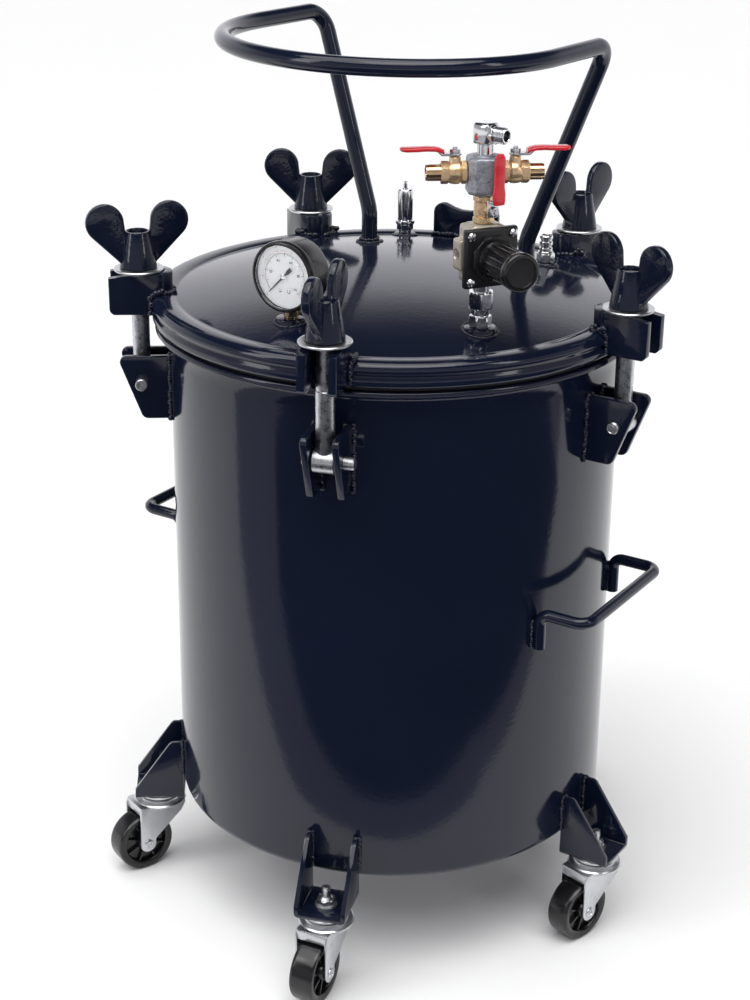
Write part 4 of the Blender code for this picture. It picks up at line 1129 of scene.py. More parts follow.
def make_forks():
    """Pressed fork: a dished crown with two ball-race rings, cheeks, and a riveted axle."""
    top = FORK_TOP_Z
    wide = mm("pot_casters", "width") / 2 + 2.3
    for tag in TAGS:
        place = fork_place(tag)
        crown = [(4.9, top - 0.5), (12.0, top), (15.4, top - 0.2), (16.8, top - 1.0), (17.2, top - 2.2),
                 (18.6, top - 2.8), (20.6, top - 3.0), (21.8, top - 3.9), (22.0, top - 5.0),
                 (20.8, top - 5.0), (19.6, top - 4.2), (4.9, top - 3.6)]
        legs = [fork_leg(s, wide) for s in (-1.0, 1.0)]
        roof = sheet([(-17.0, -wide), (24.4, -wide), (24.8, wide), (-17.0, wide)], top - 5.6, top - 3.9,
                     0.5)
        nose = slab(23.2, 24.8, -wide, wide, top - 12.0, top - 4.2, 0.6)
        pins = []
        for s in (-1.0, 1.0):
            face = wide + 1.0
            ring = [(0.0, face + 0.5), (1.5, face + 0.5), (1.9, face + 1.4), (3.2, face + 1.5),
                    (4.2, face + 0.8), (4.4, face - 0.3), (0.0, face - 0.3)]
            pins.append(spun(ring, 32, shift(19.0, 0.0, AXLE_Z) @ tip(-90.0 * s, "X")))
        axle = spun([(0.0, -wide), (2.9, -wide), (2.9, wide), (0.0, wide)], 24,
                    shift(19.0, 0.0, AXLE_Z) @ tip(90.0, "X"))
        whole = joined(spun(crown, 56), *legs, roof, nose, *pins, axle)
        bmesh.ops.transform(whole, matrix=place, verts=whole.verts)
        piece(f"fork_{tag}_shell", whole, LOOK["zinc"], f"fork_{tag}", "zinc_plate", f"caster_fork_{tag}",
              sharp=30.0)


def make_wheels():
    """Moulded wheel: rounded tread, rolled rim, sunk web with ribs and a raised hub."""
    h, r = mm("pot_casters", "width") / 2, AXLE_Z
    count = setting("pot_casters").spokes
    half = [(3.5, h - 0.4), (6.2, h - 0.4), (6.8, h - 1.0), (7.4, h - 5.2), (17.6, h - 5.2),
            (18.4, h - 1.6),
            (19.0, h - 1.0), (21.6, h - 0.7), (22.6, h - 0.4), (24.0, h - 0.8), (24.8, h - 2.0),
            (r, h - 3.6)]
    profile = half + [(a, -b) for a, b in reversed(half)]
    for tag in TAGS:
        place = fork_place(tag) @ shift(19.0, 0.0, AXLE_Z) @ tip(90.0, "X")
        body = spun(profile, 72)
        for face in body.faces:
            mid = face.calc_center_median() / MM
            face.material_index = 1 if math.hypot(mid.x, mid.y) > 23.5 else 0
        ribs = []
        for s in (-1.0, 1.0):
            rib = slab(6.6, 18.2, -0.8, 0.8, min(s * (h - 5.6), s * (h - 2.4)),
                       max(s * (h - 5.6), s * (h - 2.4)),
                       0.3)
            ribs.append(around(rib, count, LOOK["black"], start=20.0))
        whole = joined(body, *ribs)
        bmesh.ops.transform(whole, matrix=place, verts=whole.verts)
        obj = piece(f"wheel_{tag}_body", whole, None, f"wheel_{tag}", "wheel_plastic",
                    f"caster_wheel_{tag}",
                    sharp=40.0)
        obj.data.materials.clear()
        obj.data.materials.append(LOOK["black"])
        obj.data.materials.append(LOOK["tread"])


# ---- handles ----
def side_handle_path():
    foot = math.sqrt((TANK_R + 4.5 + GAP) ** 2 - 61.7 ** 2)
    node = "side_handle_right"
    top = high(node).z - 4.5
    base = low(node).z
    corners = [(foot, -61.7, base), (foot, -61.7, top), (TANK_R + 32.2, -61.7, top),
               (TANK_R + 32.2, 61.7, top), (foot, 61.7, top), (foot, 61.7, base)]
    return rounded(corners, (8.0, 11.0, 11.0, 8.0), 10), foot, base


def make_side_handles():
    path, foot, base = side_handle_path()
    for side in ("right", "left"):
        node = f"side_handle_{side}"
        place = stand((0, 0, 0), clock_dir(node))
        piece(f"grip_{side}", tube(path, 4.5, 28, place), LOOK["navy"], "vessel", "navy_paint", node,
              sharp=60.0)
        welds = []
        for s in (-1.0, 1.0):
            for edge in (-1.0, 1.0):
                y = s * 61.7 + edge * 2.8
                seam = math.sqrt(TANK_R ** 2 - y ** 2)
                line = [(seam + 1.0, y, z) for z in (base + 1.5, base + 22.0)]
                welds.append(bead(line, LOOK["navy_weld"], place, radius=1.5, seed=int(5 + s + edge)))
        piece(f"grip_weld_{side}", joined(*welds), LOOK["navy_weld"], "vessel", "navy_paint", sharp=180.0)


def hoop_path():
    z0, z1 = low("bow_handle").z, BOW_TOP_Z - 6.35
    half = [(123.0 * math.sin(a), 134.0 * math.cos(a), z1)
            for a in (math.pi / 2 * k / 28 for k in range(29))]
    right = [(-66.0, 75.5, z0), (-66.0, 75.5, z0 + 24.0), (-77.0, 132.0, z1), (-20.0, 134.6, z1)]
    right = [tuple(p) for p in rounded(right, (34.0, 17.0), 12)][:-1] + half
    left = [(u, -v, z) for u, v, z in reversed(right[:-1])]
    return right + left, z0


def make_hoop():
    path, z0 = hoop_path()
    piece("bow_bar", tube(path, 6.35, 36, BOW_PLACE), LOOK["navy"], "vessel", "navy_paint", "bow_handle",
          sharp=60.0)
    collars = []
    for s in (-1.0, 1.0):
        ring = [(-66.0 + 7.0 * math.cos(a), s * 75.5 + 7.0 * math.sin(a), z0 + 0.7)
                for a in (math.tau * k / 24 for k in range(25))]
        collars.append(bead(ring, LOOK["navy_weld"], BOW_PLACE, radius=1.3, seed=int(8 + s), rough=0.25))
    piece("bow_welds", joined(*collars), LOOK["navy_weld"], "vessel", "navy_paint", sharp=180.0)


# ---- gauge (local X out of the dial) ----
FACE_UP = tip(90.0, "Y")          # carries local Z to X, so turned shapes face outwards


def dial_place(depth):
    """Plane of the dial: its X runs right and its Y up when looked at from the front."""
    facing = Matrix(((0, 0, 1, 0), (1, 0, 0, 0), (0, 1, 0, 0), (0, 0, 0, 1)))
    return GAUGE_PLACE @ shift(depth, 0.0, 0.0) @ facing


def text_mesh(words, size, place, mat):
    """Flat raised figures, made a mesh before they are placed."""
    curve = bpy.data.curves.new("figures", "FONT")
    curve.body = words
    curve.size = size * MM
    curve.align_x = curve.align_y = "CENTER"
    curve.extrude = 0.04 * MM
    curve.resolution_u = 2
    obj = bpy.data.objects.new("figures", curve)
    bpy.context.scene.collection.objects.link(obj)
    mesh = baked(obj)
    bpy.data.objects.remove(obj)
    bm = bmesh.new()
    bm.from_mesh(mesh)
    bmesh.ops.transform(bm, matrix=place, verts=bm.verts)
    return bm


def make_gauge():
    back, front, r, dish = -14.0, 12.0, 26.0, 23.2
    face = front - 5.0
    case = [(0.0, back), (r - 4.0, back), (r - 1.6, back + 1.2), (r - 0.9, back + 3.0),
            (r - 0.9, front - 6.5),
            (r - 0.2, front - 6.0), (r, front - 5.0), (r, front - 1.6), (r - 0.5, front - 0.5),
            (r - 1.4, front),
            (dish + 0.5, front), (dish, front - 0.6), (dish, face), (0.0, face)]
    stem_z = low("gauge_case").z - GAUGE_PLACE.to_translation().z / MM
    body = spun(case, 96, GAUGE_PLACE @ FACE_UP)
    piece("gauge_body", body, LOOK["black"], "vessel", "black_plastic", "gauge_case")
    foot = spun([(0.0, stem_z), (5.2, stem_z), (5.6, stem_z + 3.0), (5.6, -r + 6.0), (0.0, -r + 6.0)], 32,
                GAUGE_PLACE)
    wrench = hexed(5.9, stem_z + 1.4, stem_z + 8.2, 0.0, 0.5, GAUGE_PLACE, sides=4)
    piece("gauge_stem", joined(foot, wrench), LOOK["brass_cut"], "vessel", "valve_brass")
    # The dial plate carries the material with the painted glow.
    plate = spun([(0.0, 0.05), (dish - 0.2, 0.05), (dish - 0.2, 0.35), (0.0, 0.35)], 72,
                 GAUGE_PLACE @ shift(face, 0, 0) @ FACE_UP)
    piece("gauge_dial", plate, LOOK["dial"], "vessel", "gauge_glass")
    make_dial_print(face + 0.42)
    screws = []
    for y in (-3.6, 3.6):
        pan = [(0.0, 0.0), (1.5, 0.0), (1.5, 0.5), (0.9, 0.95), (0.0, 1.0)]
        screws.append(spun(pan, 24, dial_place(face + 0.35) @ shift(y, -10.5, 0.0)))
    post = spun([(0.0, 0.0), (1.1, 0.0), (1.1, 1.6), (0.0, 1.6)], 24, dial_place(face + 0.3))
    piece("gauge_screws", joined(*screws, post), LOOK["chrome"], "vessel", "chrome_plate")
    lens = [(0.0, 0.0), (dish - 0.4, 0.0), (dish - 0.3, 0.2), (dish - 0.3, 1.0), (dish - 1.0, 1.15),
            (0.0, 1.25)]
    piece("gauge_glass_disc", spun(lens, 72, GAUGE_PLACE @ shift(front - 1.7, 0, 0) @ FACE_UP),
          LOOK["glass"], "vessel", "gauge_glass", "gauge_lens")
    make_pointer()


def make_dial_print(depth):
    """Inner black and outer red scales, 270 degrees round, with plain figures."""
    place = dial_place(depth)
    first, sweep = 225.0, -270.0
    fine = slab(15.4, 16.6, -0.09, 0.09, 0.0, 0.08, 0.0)
    coarse = slab(14.4, 16.6, -0.17, 0.17, 0.0, 0.08, 0.0)
    black = [around(fine, 61, LOOK["ink"], place, first, sweep * 61 / 60),
             around(coarse, 11, LOOK["ink"], place, first, sweep * 11 / 10)]
    red_fine = slab(17.6, 18.8, -0.09, 0.09, 0.0, 0.08, 0.0)
    red_coarse = slab(17.6, 19.6, -0.16, 0.16, 0.0, 0.08, 0.0)
    red = [around(red_fine, 57, LOOK["red_ink"], place, first, sweep * 57 / 56),
           around(red_coarse, 8, LOOK["red_ink"], place, first, sweep * 8 / 7)]
    arcs = sheet(arc(0, 0, 16.75, first, first + sweep, 60) + arc(0, 0, 16.6, first + sweep, first, 60),
                 0.0,
                 0.08, 0.0, place)
    black.append(arcs)
    top = setting("pot_fittings").dial_top
    for k in range(0, 6):
        a = math.radians(first + sweep * k / 5)
        at = place @ shift(11.9 * math.cos(a), 11.9 * math.sin(a), 0.0)
        black.append(text_mesh(str(int(top * k / 5)), 3.0, at, LOOK["ink"]))
    for k in range(0, 8):
        a = math.radians(first + sweep * k / 7)
        at = place @ shift(21.2 * math.cos(a), 21.2 * math.sin(a), 0.0)
        red.append(text_mesh(str(k), 2.1, at, LOOK["red_ink"]))
    piece("gauge_black_print", joined(*black), LOOK["ink"], "vessel", "gauge_glass", sharp=180.0)
    piece("gauge_red_print", joined(*red), LOOK["red_ink"], "vessel", "gauge_glass", sharp=180.0)


def make_pointer():
    """Tapered needle with a short broad tail, and its silver hub."""
    outline = [(-0.28, 17.4), (0.28, 17.4), (0.75, 3.0), (0.75, -3.6), (1.5, -4.4), (1.5, -9.0),
               (-1.5, -9.0),
               (-1.5, -4.4), (-0.75, -3.6), (-0.75, 3.0)]
    at = GAUGE_PLACE.inverted() @ NEEDLE_AT
    rest = tip(135.0, "Z")
    place = dial_place(at.x / MM)
    needle = sheet(outline, -0.25, 0.25, 0.12, place @ rest, 1)
    piece("needle", needle, LOOK["ink"], "gauge_pointer", "black_plastic", "gauge_pointer")
    hub = spun([(0.0, -0.3), (2.3, -0.3), (2.3, 0.5), (1.6, 0.9), (0.0, 0.9)], 32, place)
    piece("needle_hub", hub, LOOK["chrome"], "gauge_pointer", "chrome_plate")


# ---- air fittings ----
def make_union():
    z0, z1 = low("union_fitting").z, REG_Z0 - GAP
    place = stand(TOWER, axis_of("regulator_knob") - TOWER)
    base = hexed(7.2, z0, z0 + 8.4, 0.0, 0.8, place @ tip(12.0, "Z"))
    step = spun([(0.0, z0 + 8.2), (6.2, z0 + 8.2), (6.5, z0 + 9.2), (6.5, REG_Z0 - 17.6),
                 (0.0, REG_Z0 - 17.6)],
                40, place)
    cap = hexed(8.4, REG_Z0 - 17.8, REG_Z0 - 5.6, 0.0, 1.2, place @ tip(32.0, "Z"))
    neck = threaded(6.4, REG_Z0 - 6.0, z1, mm("pot_fittings", "pitch"), 0.7, LOOK["chrome"], place)
    collar = spun([(0.0, REG_Z0 - 6.0), (5.6, REG_Z0 - 6.0), (5.6, z1), (0.0, z1)], 40, place)
    piece("air_union", joined(base, step, cap, neck, collar), LOOK["chrome"], "vessel", "chrome_plate",
          "union_fitting", sharp=30.0)


def make_regulator():
    mid = (REG_Z0 + REG_Z1) / 2
    z0, z1 = REG_Z0, REG_Z1
    core = slab(-10.0, 8.4, -14.0, 14.0, z0 + 1.6, z1 - 1.0, 2.2, steps=3)
    waist = slab(-8.0, 8.0, -10.5, 10.5, z0, z1, 1.6, steps=3)
    ports = [slab(-9.0, 3.0, s * 14.5 - 4.5, s * 14.5 + 4.5, mid - 11.0, mid + 11.0, 1.4, steps=3)
             for s in (-1.0, 1.0)]
    holes = [spun([(0.0, -8.0), (4.2, -8.0), (4.2, 5.0), (4.9, 6.0), (0.0, 6.0)], 36,
                  shift(-3.0, s * 13.6, mid) @ tip(-90.0 * s, "X")) for s in (-1.0, 1.0)]
    body = cut(fused(0.8, core, waist, *ports, smooth=3), *holes)
    bmesh.ops.transform(body, matrix=REG_PLACE, verts=body.verts)
    piece("regulator_casting", body, LOOK["regulator"], "vessel", "regulator_grey", "regulator_body",
          sharp=40.0)
    plate = slab(8.5, 14.2, -20.4, 20.4, z0 + 0.8, z1 - 1.0, 1.6, steps=3)
    eight = tip(90.0, "Y") @ tip(22.5, "Z")
    dome = hexed(15.6, 0.0, 4.0, 0.0, 1.0, shift(14.0, 0.0, mid) @ eight, sides=8)
    collar = spun([(0.0, 3.4), (12.6, 3.4), (12.4, 4.2), (0.0, 4.2)], 64,
                  shift(14.0, 0.0, mid) @ tip(90, "Y"))
    bonnet = joined(plate, dome, collar)
    bmesh.ops.transform(bonnet, matrix=REG_PLACE, verts=bonnet.verts)
    piece("regulator_bonnet", bonnet, LOOK["satin"], "vessel", "black_plastic")
    screws = []
    for y in (-16.2, 16.2):
        for z in (mid - 16.2, mid + 16.2):
            at = shift(14.2, y, z) @ tip(90.0, "Y")
            head = cut(spun([(0.0, 0.0), (3.1, 0.0), (3.1, 1.2), (2.2, 2.2), (0.0, 2.5)], 28, at),
                       slab(-2.4, 2.4, -0.35, 0.35, 1.5, 4.0, 0.0, at @ tip(y + z, "Z")),
                       slab(-0.35, 0.35, -2.4, 2.4, 1.5, 4.0, 0.0, at @ tip(y + z, "Z")))
            screws.append(head)
    heads = joined(*screws)
    bmesh.ops.transform(heads, matrix=REG_PLACE, verts=heads.verts)
    piece("regulator_screws", heads, LOOK["chrome"], "vessel", "chrome_plate")
    make_knob(mid)


def make_knob(mid):
    x0, x1 = 18.5, 58.0
    place = REG_PLACE @ shift(0.0, 0.0, mid) @ tip(90.0, "Y")
    body = [(0.0, x0), (12.6, x0), (13.4, x0 + 0.6), (13.4, x0 + 3.2), (12.1, x0 + 4.2), (12.6, x1 - 8.0),
            (13.5, x1 - 6.4), (13.7, x1 - 1.6), (13.0, x1 - 0.4), (12.2, x1), (10.6, x1), (10.2, x1 - 0.9),
            (0.0, x1 - 1.1)]
    rib = slab(11.6, 13.2, -0.75, 0.75, x0 + 4.0, x1 - 6.6, 0.35)
    ribs = around(rib, setting("pot_fittings").ribs, LOOK["black"], place)
    piece("knob", joined(spun(body, 72, place), ribs), LOOK["black"], "regulator_knob", "black_plastic",
          "regulator_knob")


def lever_nut(place, z, brass_z=None):
    """Nut and thread end that hold a lever on its stem."""
    nut = hexed(3.2, z, z + 2.8, 0.0, 0.4, place)
    stub = threaded(1.9, z + 2.6, z + 4.4, 0.7, 0.3, LOOK["chrome"], place, 20)
    return joined(nut, stub)


def make_low_valve():
    z0, z1 = REG_Z1 + GAP, MANIFOLD_Z0 - GAP
    stem_z = JOINTS["lever_low_turn"][0].z / MM
    place = LOW_PLACE
    lower = hexed(6.5, z0, z0 + 4.2, 0.0, 0.5, place)
    middle = spun([(0.0, z0 + 4.0), (6.0, z0 + 4.0), (6.9, z0 + 5.4), (7.0, z0 + 10.0), (6.9, z1 - 5.0),
                   (6.0, z1 - 3.8), (0.0, z1 - 3.8)], 40, place)
    upper = hexed(6.5, z1 - 4.0, z1, 0.0, 0.5, place)
    boss = spun([(0.0, 4.0), (4.3, 4.0), (3.7, 7.6), (3.6, 9.4), (0.0, 9.6)], 32,
                place @ shift(0.0, 0.0, stem_z) @ tip(90.0, "Y"))
    piece("low_valve_body", joined(lower, middle, upper, boss), LOOK["brass"], "vessel", "valve_brass",
          "valve_low", sharp=30.0)
    at = place @ shift(0.0, 0.0, stem_z)
    yoke = sheet([(-4.4, -4.4)] + arc(0.0, 0.0, 4.5, 250.0, 290.0, 4) + [(4.4, -4.4), (4.4, 7.9),
                                                                         (-4.4, 7.9)],
                 10.0, 11.6, 0.4)
    frame_x = Matrix(((0, 0, 1, 0), (1, 0, 0, 0), (0, 1, 0, 0), (0, 0, 0, 1)))
    bmesh.ops.transform(yoke, matrix=at @ frame_x, verts=yoke.verts)
    link = slab(10.6, 18.4, -3.9, 3.9, 6.2, 7.9, 0.5, at)
    nut = lever_nut(at @ tip(90.0, "Y"), 11.6)
    piece("low_lever_yoke", joined(yoke, link, nut), LOOK["steel"], "lever_low", "chrome_plate",
          "lever_low")
    grip = grip_shape([(0.0, 17.9, 5.9, 4.2, 1.9), (2.5, 17.8, 8.4, 4.9, 2.1), (8.0, 17.6, 13.0, 5.2, 2.1),
                       (13.0, 17.5, 18.0, 4.3, 1.9), (18.0, 17.5, 26.0, 4.2, 1.9),
                       (27.0, 17.6, 34.0, 4.3, 2.0),
                       (33.0, 17.6, 38.5, 4.0, 1.9), (36.0, 17.6, 41.2, 2.4, 1.3)], at)
    piece("low_lever_grip", grip, LOOK["vinyl"], "lever_low", "red_vinyl", sharp=60.0)


def grip_shape(stations, place):
    """Dipped sleeve up a lever: each station has its out, up, half width and half thickness."""
    bm = bmesh.new()
    rings = []
    sides = 28
    smooth = []
    for a, b in zip(stations, stations[1:]):
        for k in range(4):
            t = k / 4.0
            t = t * t * (3 - 2 * t)
            smooth.append([p * (1 - t) + q * t for p, q in zip(a, b)])
    smooth.append(list(stations[-1]))
    for _, x, z, half, thick in smooth:
        ring = []
        for k in range(sides):
            c, s = math.cos(math.tau * k / sides), math.sin(math.tau * k / sides)
            px = x + thick * math.copysign(abs(s) ** 0.7, s)
            py = half * math.copysign(abs(c) ** 0.7, c)
            ring.append(bm.verts.new(Vector((px, py, z)) * MM))
        rings.append(ring)
    for a, b in zip(rings, rings[1:]):
        for k in range(sides):
            n = (k + 1) % sides
            bm.faces.new((a[k], a[n], b[n], b[k]))
    bm.faces.new(rings[0])
    bm.faces.new(rings[-1])
    return settled(bm, place)


def make_branches():
    z = (low("valve_left").z + 8.2)
    for side, s in (("left", -1.0), ("right", 1.0)):
        stem = JOINTS[f"lever_{side}_turn"][0]
        place = BRANCH_PLACE @ shift(0.0, 0.0, z)
        along = place @ tip(90.0 * s, "Y")
        hexes = hexed(7.1, 12.8, 16.6, 0.0, 0.6, along)
        ball = spun([(0.0, 16.4), (6.6, 16.4), (7.9, 18.0), (8.1, 21.0), (7.7, 24.0), (6.8, 25.4),
                     (0.0, 25.4)],
                    48, along)
        outer = hexed(7.0, 25.2, 30.8, 3.6, 0.7, along)
        end = threaded(6.0, 30.6, 41.0, mm("pot_fittings", "pitch"), 0.55, LOOK["brass_cut"], along)
        mouth = spun([(3.6, 30.4), (5.3, 30.4), (5.2, 40.2), (4.6, 41.0), (3.8, 41.0), (3.6, 40.4)], 44,
                     along)
        cap = spun([(0.0, 35.0), (3.8, 35.0), (3.8, 35.6), (0.0, 35.6)], 32, along)
        post = place.inverted() @ stem / MM
        boss = spun([(0.0, 3.0), (5.4, 3.0), (4.2, 7.6), (4.0, 10.6), (3.3, 11.5), (0.0, 11.5)], 36,
                    place @ shift(post.x, 0.0, 0.0))
        piece(f"branch_{side}_body", joined(hexes, ball, outer, boss), LOOK["brass"], "vessel",
              "valve_brass",
              f"valve_{side}", sharp=30.0)
        cut_end = joined(end_hollow(end, along), mouth, cap)
        piece(f"branch_{side}_end", cut_end, LOOK["brass_cut"], "vessel", "valve_brass", sharp=30.0)
        make_branch_lever(side, s, place @ shift(post.x, 0.0, 0.0))


def end_hollow(bm, place):
    """Takes the solid core out of a threaded end, so that its mouth shows."""
    back = place.inverted()
    gone = []
    for face in bm.faces:
        mid = back @ face.calc_center_median() / MM
        if math.hypot(mid.x, mid.y) < 4.9 and mid.z > 40.0:
            gone.append(face)
    bmesh.ops.delete(bm, geom=gone, context="FACES")
    return bm


def make_branch_lever(side, s, at):
    """Pressed lever: a flat steel yoke, then an S-bend up into the dipped grip."""
    yoke = sheet(arc(0.0, 0.0, 4.6, 90.0, 270.0, 12) + [(9.6, -4.2), (9.6, 4.2)], 12.0, 13.4, 0.4)
    rise = sheet([(8.0, 12.0), (9.6, 12.0), (13.0, 15.2), (16.0, 15.4), (16.0, 16.8), (12.2, 16.6),
                  (8.6, 13.4), (8.0, 13.4)], -4.0, 4.0, 0.3, tip(90.0, "X"))
    metal = joined(yoke, rise)
    if s < 0:
        bmesh.ops.transform(metal, matrix=tip(180.0, "Z"), verts=metal.verts)
    bmesh.ops.transform(metal, matrix=at, verts=metal.verts)
    nut = lever_nut(at, 13.4)
    piece(f"lever_{side}_yoke", joined(metal, nut), LOOK["steel"], f"lever_{side}", "chrome_plate",
          f"lever_{side}")
    stations = [(0, 14.6, 7.8, 4.0, 1.5), (0, 15.6, 10.6, 4.5, 1.75), (0, 16.4, 14.0, 4.6, 1.7),
                (0, 16.6, 20.0, 4.3, 1.7), (0, 16.3, 27.0, 4.5, 1.75), (0, 16.2, 33.0, 4.5, 1.75),
                (0, 16.4, 36.4, 4.0, 1.6), (0, 16.5, 37.9, 2.6, 1.0)]
    flat_on = Matrix(((0, 0, s, 0), (0, s, 0, 0), (1, 0, 0, 0), (0, 0, 0, 1)))
    grip = grip_shape(stations, at @ flat_on)
    bmesh.ops.recalc_face_normals(grip, faces=grip.faces)
    piece(f"lever_{side}_grip", grip, LOOK["vinyl"], f"lever_{side}", "red_vinyl", sharp=60.0)


def make_manifold():
    """Cast block with broad corner facets and a raised round seat at each port."""
    z0, z1 = MANIFOLD_Z0, MANIFOLD_Z1
    half = 12.4
    c = 5.0
    plan = [(half, -half + c), (half, half - c), (half - c, half), (-half + c, half), (-half, half - c),
            (-half, -half + c), (-half + c, -half), (half - c, -half)]
    body = sheet(plan, z0 + 1.4, z1 - 1.2, 2.0, None, 3)
    mid = (low("valve_left").z + 8.2)
    seats = [spun([(0.0, 0.0), (9.0, 0.0), (9.0, 12.0), (8.4, 12.4), (0.0, 12.4)], 48,
                  shift(0.0, 0.0, mid) @ tip(a, "Y")) for a in (90.0, -90.0)]
    seats += [spun([(0.0, 0.0), (9.2, 0.0), (9.2, 12.0), (8.6, 12.4), (0.0, 12.4)], 8,
                   shift(0.0, 0.0, mid) @ tip(a, "X")) for a in (90.0, -90.0)]
    ends = spun([(0.0, z0), (8.4, z0), (9.0, z0 + 0.8), (9.0, z1 - 0.8), (8.4, z1), (0.0, z1)], 48)
    cast = fused(0.7, body, *seats, ends, smooth=3)
    bmesh.ops.transform(cast, matrix=BRANCH_PLACE, verts=cast.verts)
    piece("manifold_casting", cast, LOOK["casting"], "vessel", "zinc_plate", "manifold", sharp=50.0)


def make_elbow():
    z0 = MANIFOLD_Z1 + GAP
    mid = ELBOW_Z1 - 7.5
    a = math.radians(50.0)
    place = stand(TOWER, (math.sin(a), -math.cos(a), 0.0))
    leg = threaded(6.0, z0, mid - 6.6, mm("pot_fittings", "pitch"), 0.6, LOOK["chrome"], place)
    sleeve = spun([(0.0, z0), (5.3, z0), (5.3, mid - 5.0), (0.0, mid - 5.0)], 36, place)
    block = slab(-7.0, 6.8, -6.9, 6.9, mid - 7.4, mid + 7.4, 2.4, place, 3)
    collar = hexed(6.3, 5.5, 9.5, 3.6, 0.5, place @ shift(0, 0, mid) @ tip(90.0, "Y"), sides=8)
    arm = spun([(3.6, 6.0), (5.2, 6.0), (5.2, 17.4), (4.8, 18.0), (3.9, 18.0), (3.6, 17.6)], 40,
               place @ shift(0, 0, mid) @ tip(90.0, "Y"))
    turns = []
    for k in range(6):
        x = 10.4 + k * 1.25
        turns.append(spun([(5.0, x - 0.5), (5.75, x), (5.0, x + 0.5)], 40,
                          place @ shift(0, 0, mid) @ tip(90.0, "Y")))
    piece("elbow_body", joined(leg, sleeve, block, collar, arm, *turns), LOOK["chrome"], "vessel",
          "chrome_plate", "elbow", sharp=30.0)


def make_relief():
    at = shift(*axis_of("relief_valve"))
    z0, z1 = low("relief_valve").z, high("relief_valve").z
    thread = threaded(5.6, z0, z0 + 3.0, 1.2, 0.5, LOOK["chrome"], at)
    core = spun([(0.0, z0), (5.2, z0), (5.2, z0 + 4.0), (0.0, z0 + 4.0)], 32, at)
    base = hexed(6.0, z0 + 2.4, 518.0, 0.0, 0.7, at)
    flange = spun([(0.0, 517.6), (5.6, 517.6), (8.2, 518.4), (8.4, 519.4), (8.2, 520.8), (0.0, 520.8)],
                  44, at)
    barrel = cut(spun([(2.3, 531.0), (2.3, z1), (5.6, z1), (6.4, z1 - 0.8), (6.6, z1 - 3.0), (6.6, 521.6),
                       (6.2, 520.6), (2.3, 520.6)], 56, at),
                 spun([(0.0, -9.0), (1.3, -9.0), (1.3, 0.0), (0.0, 0.0)], 24,
                      at @ shift(0.0, 0.0, 528.5) @ tip(90.0, "X") @ tip(180.0, "X")))
    piece("relief_body", joined(thread, core, base, flange, barrel), LOOK["chrome"], "vessel",
          "chrome_plate", "relief_valve", sharp=30.0)
    top = high("relief_pin").z
    stalk = spun([(0.0, 533.0), (1.8, 533.0), (1.8, top - 2.4), (1.2, top - 2.0), (1.2, top - 1.4),
                  (1.9, top - 0.9), (1.7, top - 0.2), (1.0, top), (0.0, top)], 28, at)
    piece("relief_stalk", stalk, LOOK["chrome"], "relief_pin", "chrome_plate", "relief_pin", sharp=30.0)


def make_outlet():
    at = shift(*axis_of("outlet_fitting"))
    z0, z1 = low("outlet_fitting").z, high("outlet_fitting").z
    base = hexed(6.2, z0, 521.6, 0.0, 0.7, at)
    neck = [(0.0, 527.0), (3.2, 527.0), (3.2, z1 - 0.3), (3.6, z1), (4.8, z1), (5.3, z1 - 0.6)]
    for drop in (2.4, 7.4):
        neck += [(5.3, z1 - drop), (4.3, z1 - drop - 0.8), (4.3, z1 - drop - 2.0), (5.3, z1 - drop - 2.8)]
    neck += [(5.3, z1 - 12.6), (6.2, z1 - 13.2), (6.2, 521.4), (0.0, 521.4)]
    body = spun(neck, 48, at)
    piece("outlet_body", joined(base, body), LOOK["chrome"], "vessel", "chrome_plate", "outlet_fitting",
          sharp=30.0)


# ---- stage ----
def make_floor():
    bm = bmesh.new()
    bmesh.ops.create_circle(bm, cap_ends=True, segments=96, radius=9.0)
    mesh = bpy.data.meshes.new("studio_floor")
    bm.to_mesh(mesh)
    bm.free()
    floor = bpy.data.objects.new("studio_floor", mesh)
    bpy.context.scene.collection.objects.link(floor)
    mat = surface("Studio floor", tuple(setting("pot_stage").floor), 0.9, mottle=(3.0, 60.0, 0.2),
                  shade=(0.995, 1.0))
    mat.node_tree.nodes["Principled BSDF"].inputs["Specular IOR Level"].default_value = 0.1
    mesh.materials.append(mat)


def make_room():
    """Even pale room with a bright band of wall behind the pot and a dim ceiling."""
    world = bpy.data.worlds.new("Studio room")
    bpy.context.scene.world = world
    world.use_nodes = True
    tree = world.node_tree
    tree.nodes.clear()
    look = add(tree, "ShaderNodeTexCoord").outputs["Generated"]
    split = add(tree, "ShaderNodeSeparateXYZ", [(0, look)])
    ceiling = add(tree, "ShaderNodeMapRange", [("Value", split.outputs["Z"]), ("From Min", 0.36),
                                               ("From Max", 0.62), ("To Min", 1.0), ("To Max", 0.04)],
                  interpolation_type="SMOOTHSTEP")
    rear = add(tree, "ShaderNodeMapRange", [("Value", split.outputs["Y"]), ("From Min", -0.1),
                                            ("From Max", 0.75), ("To Min", 0.5), ("To Max", 1.35)],
               interpolation_type="SMOOTHSTEP")
    level = add(tree, "ShaderNodeMath", [(0, ceiling.outputs[0]), (1, rear.outputs[0])],
                operation="MULTIPLY")
    strength = add(tree, "ShaderNodeMath", [(0, level.outputs[0]), (1, setting("pot_stage").room)],
                   operation="MULTIPLY")
    colour = (0.96, 0.955, 1.0, 1.0)
    back = add(tree, "ShaderNodeBackground", [("Color", colour), ("Strength", strength.outputs[0])])
    add(tree, "ShaderNodeOutputWorld", [("Surface", back.outputs[0])])


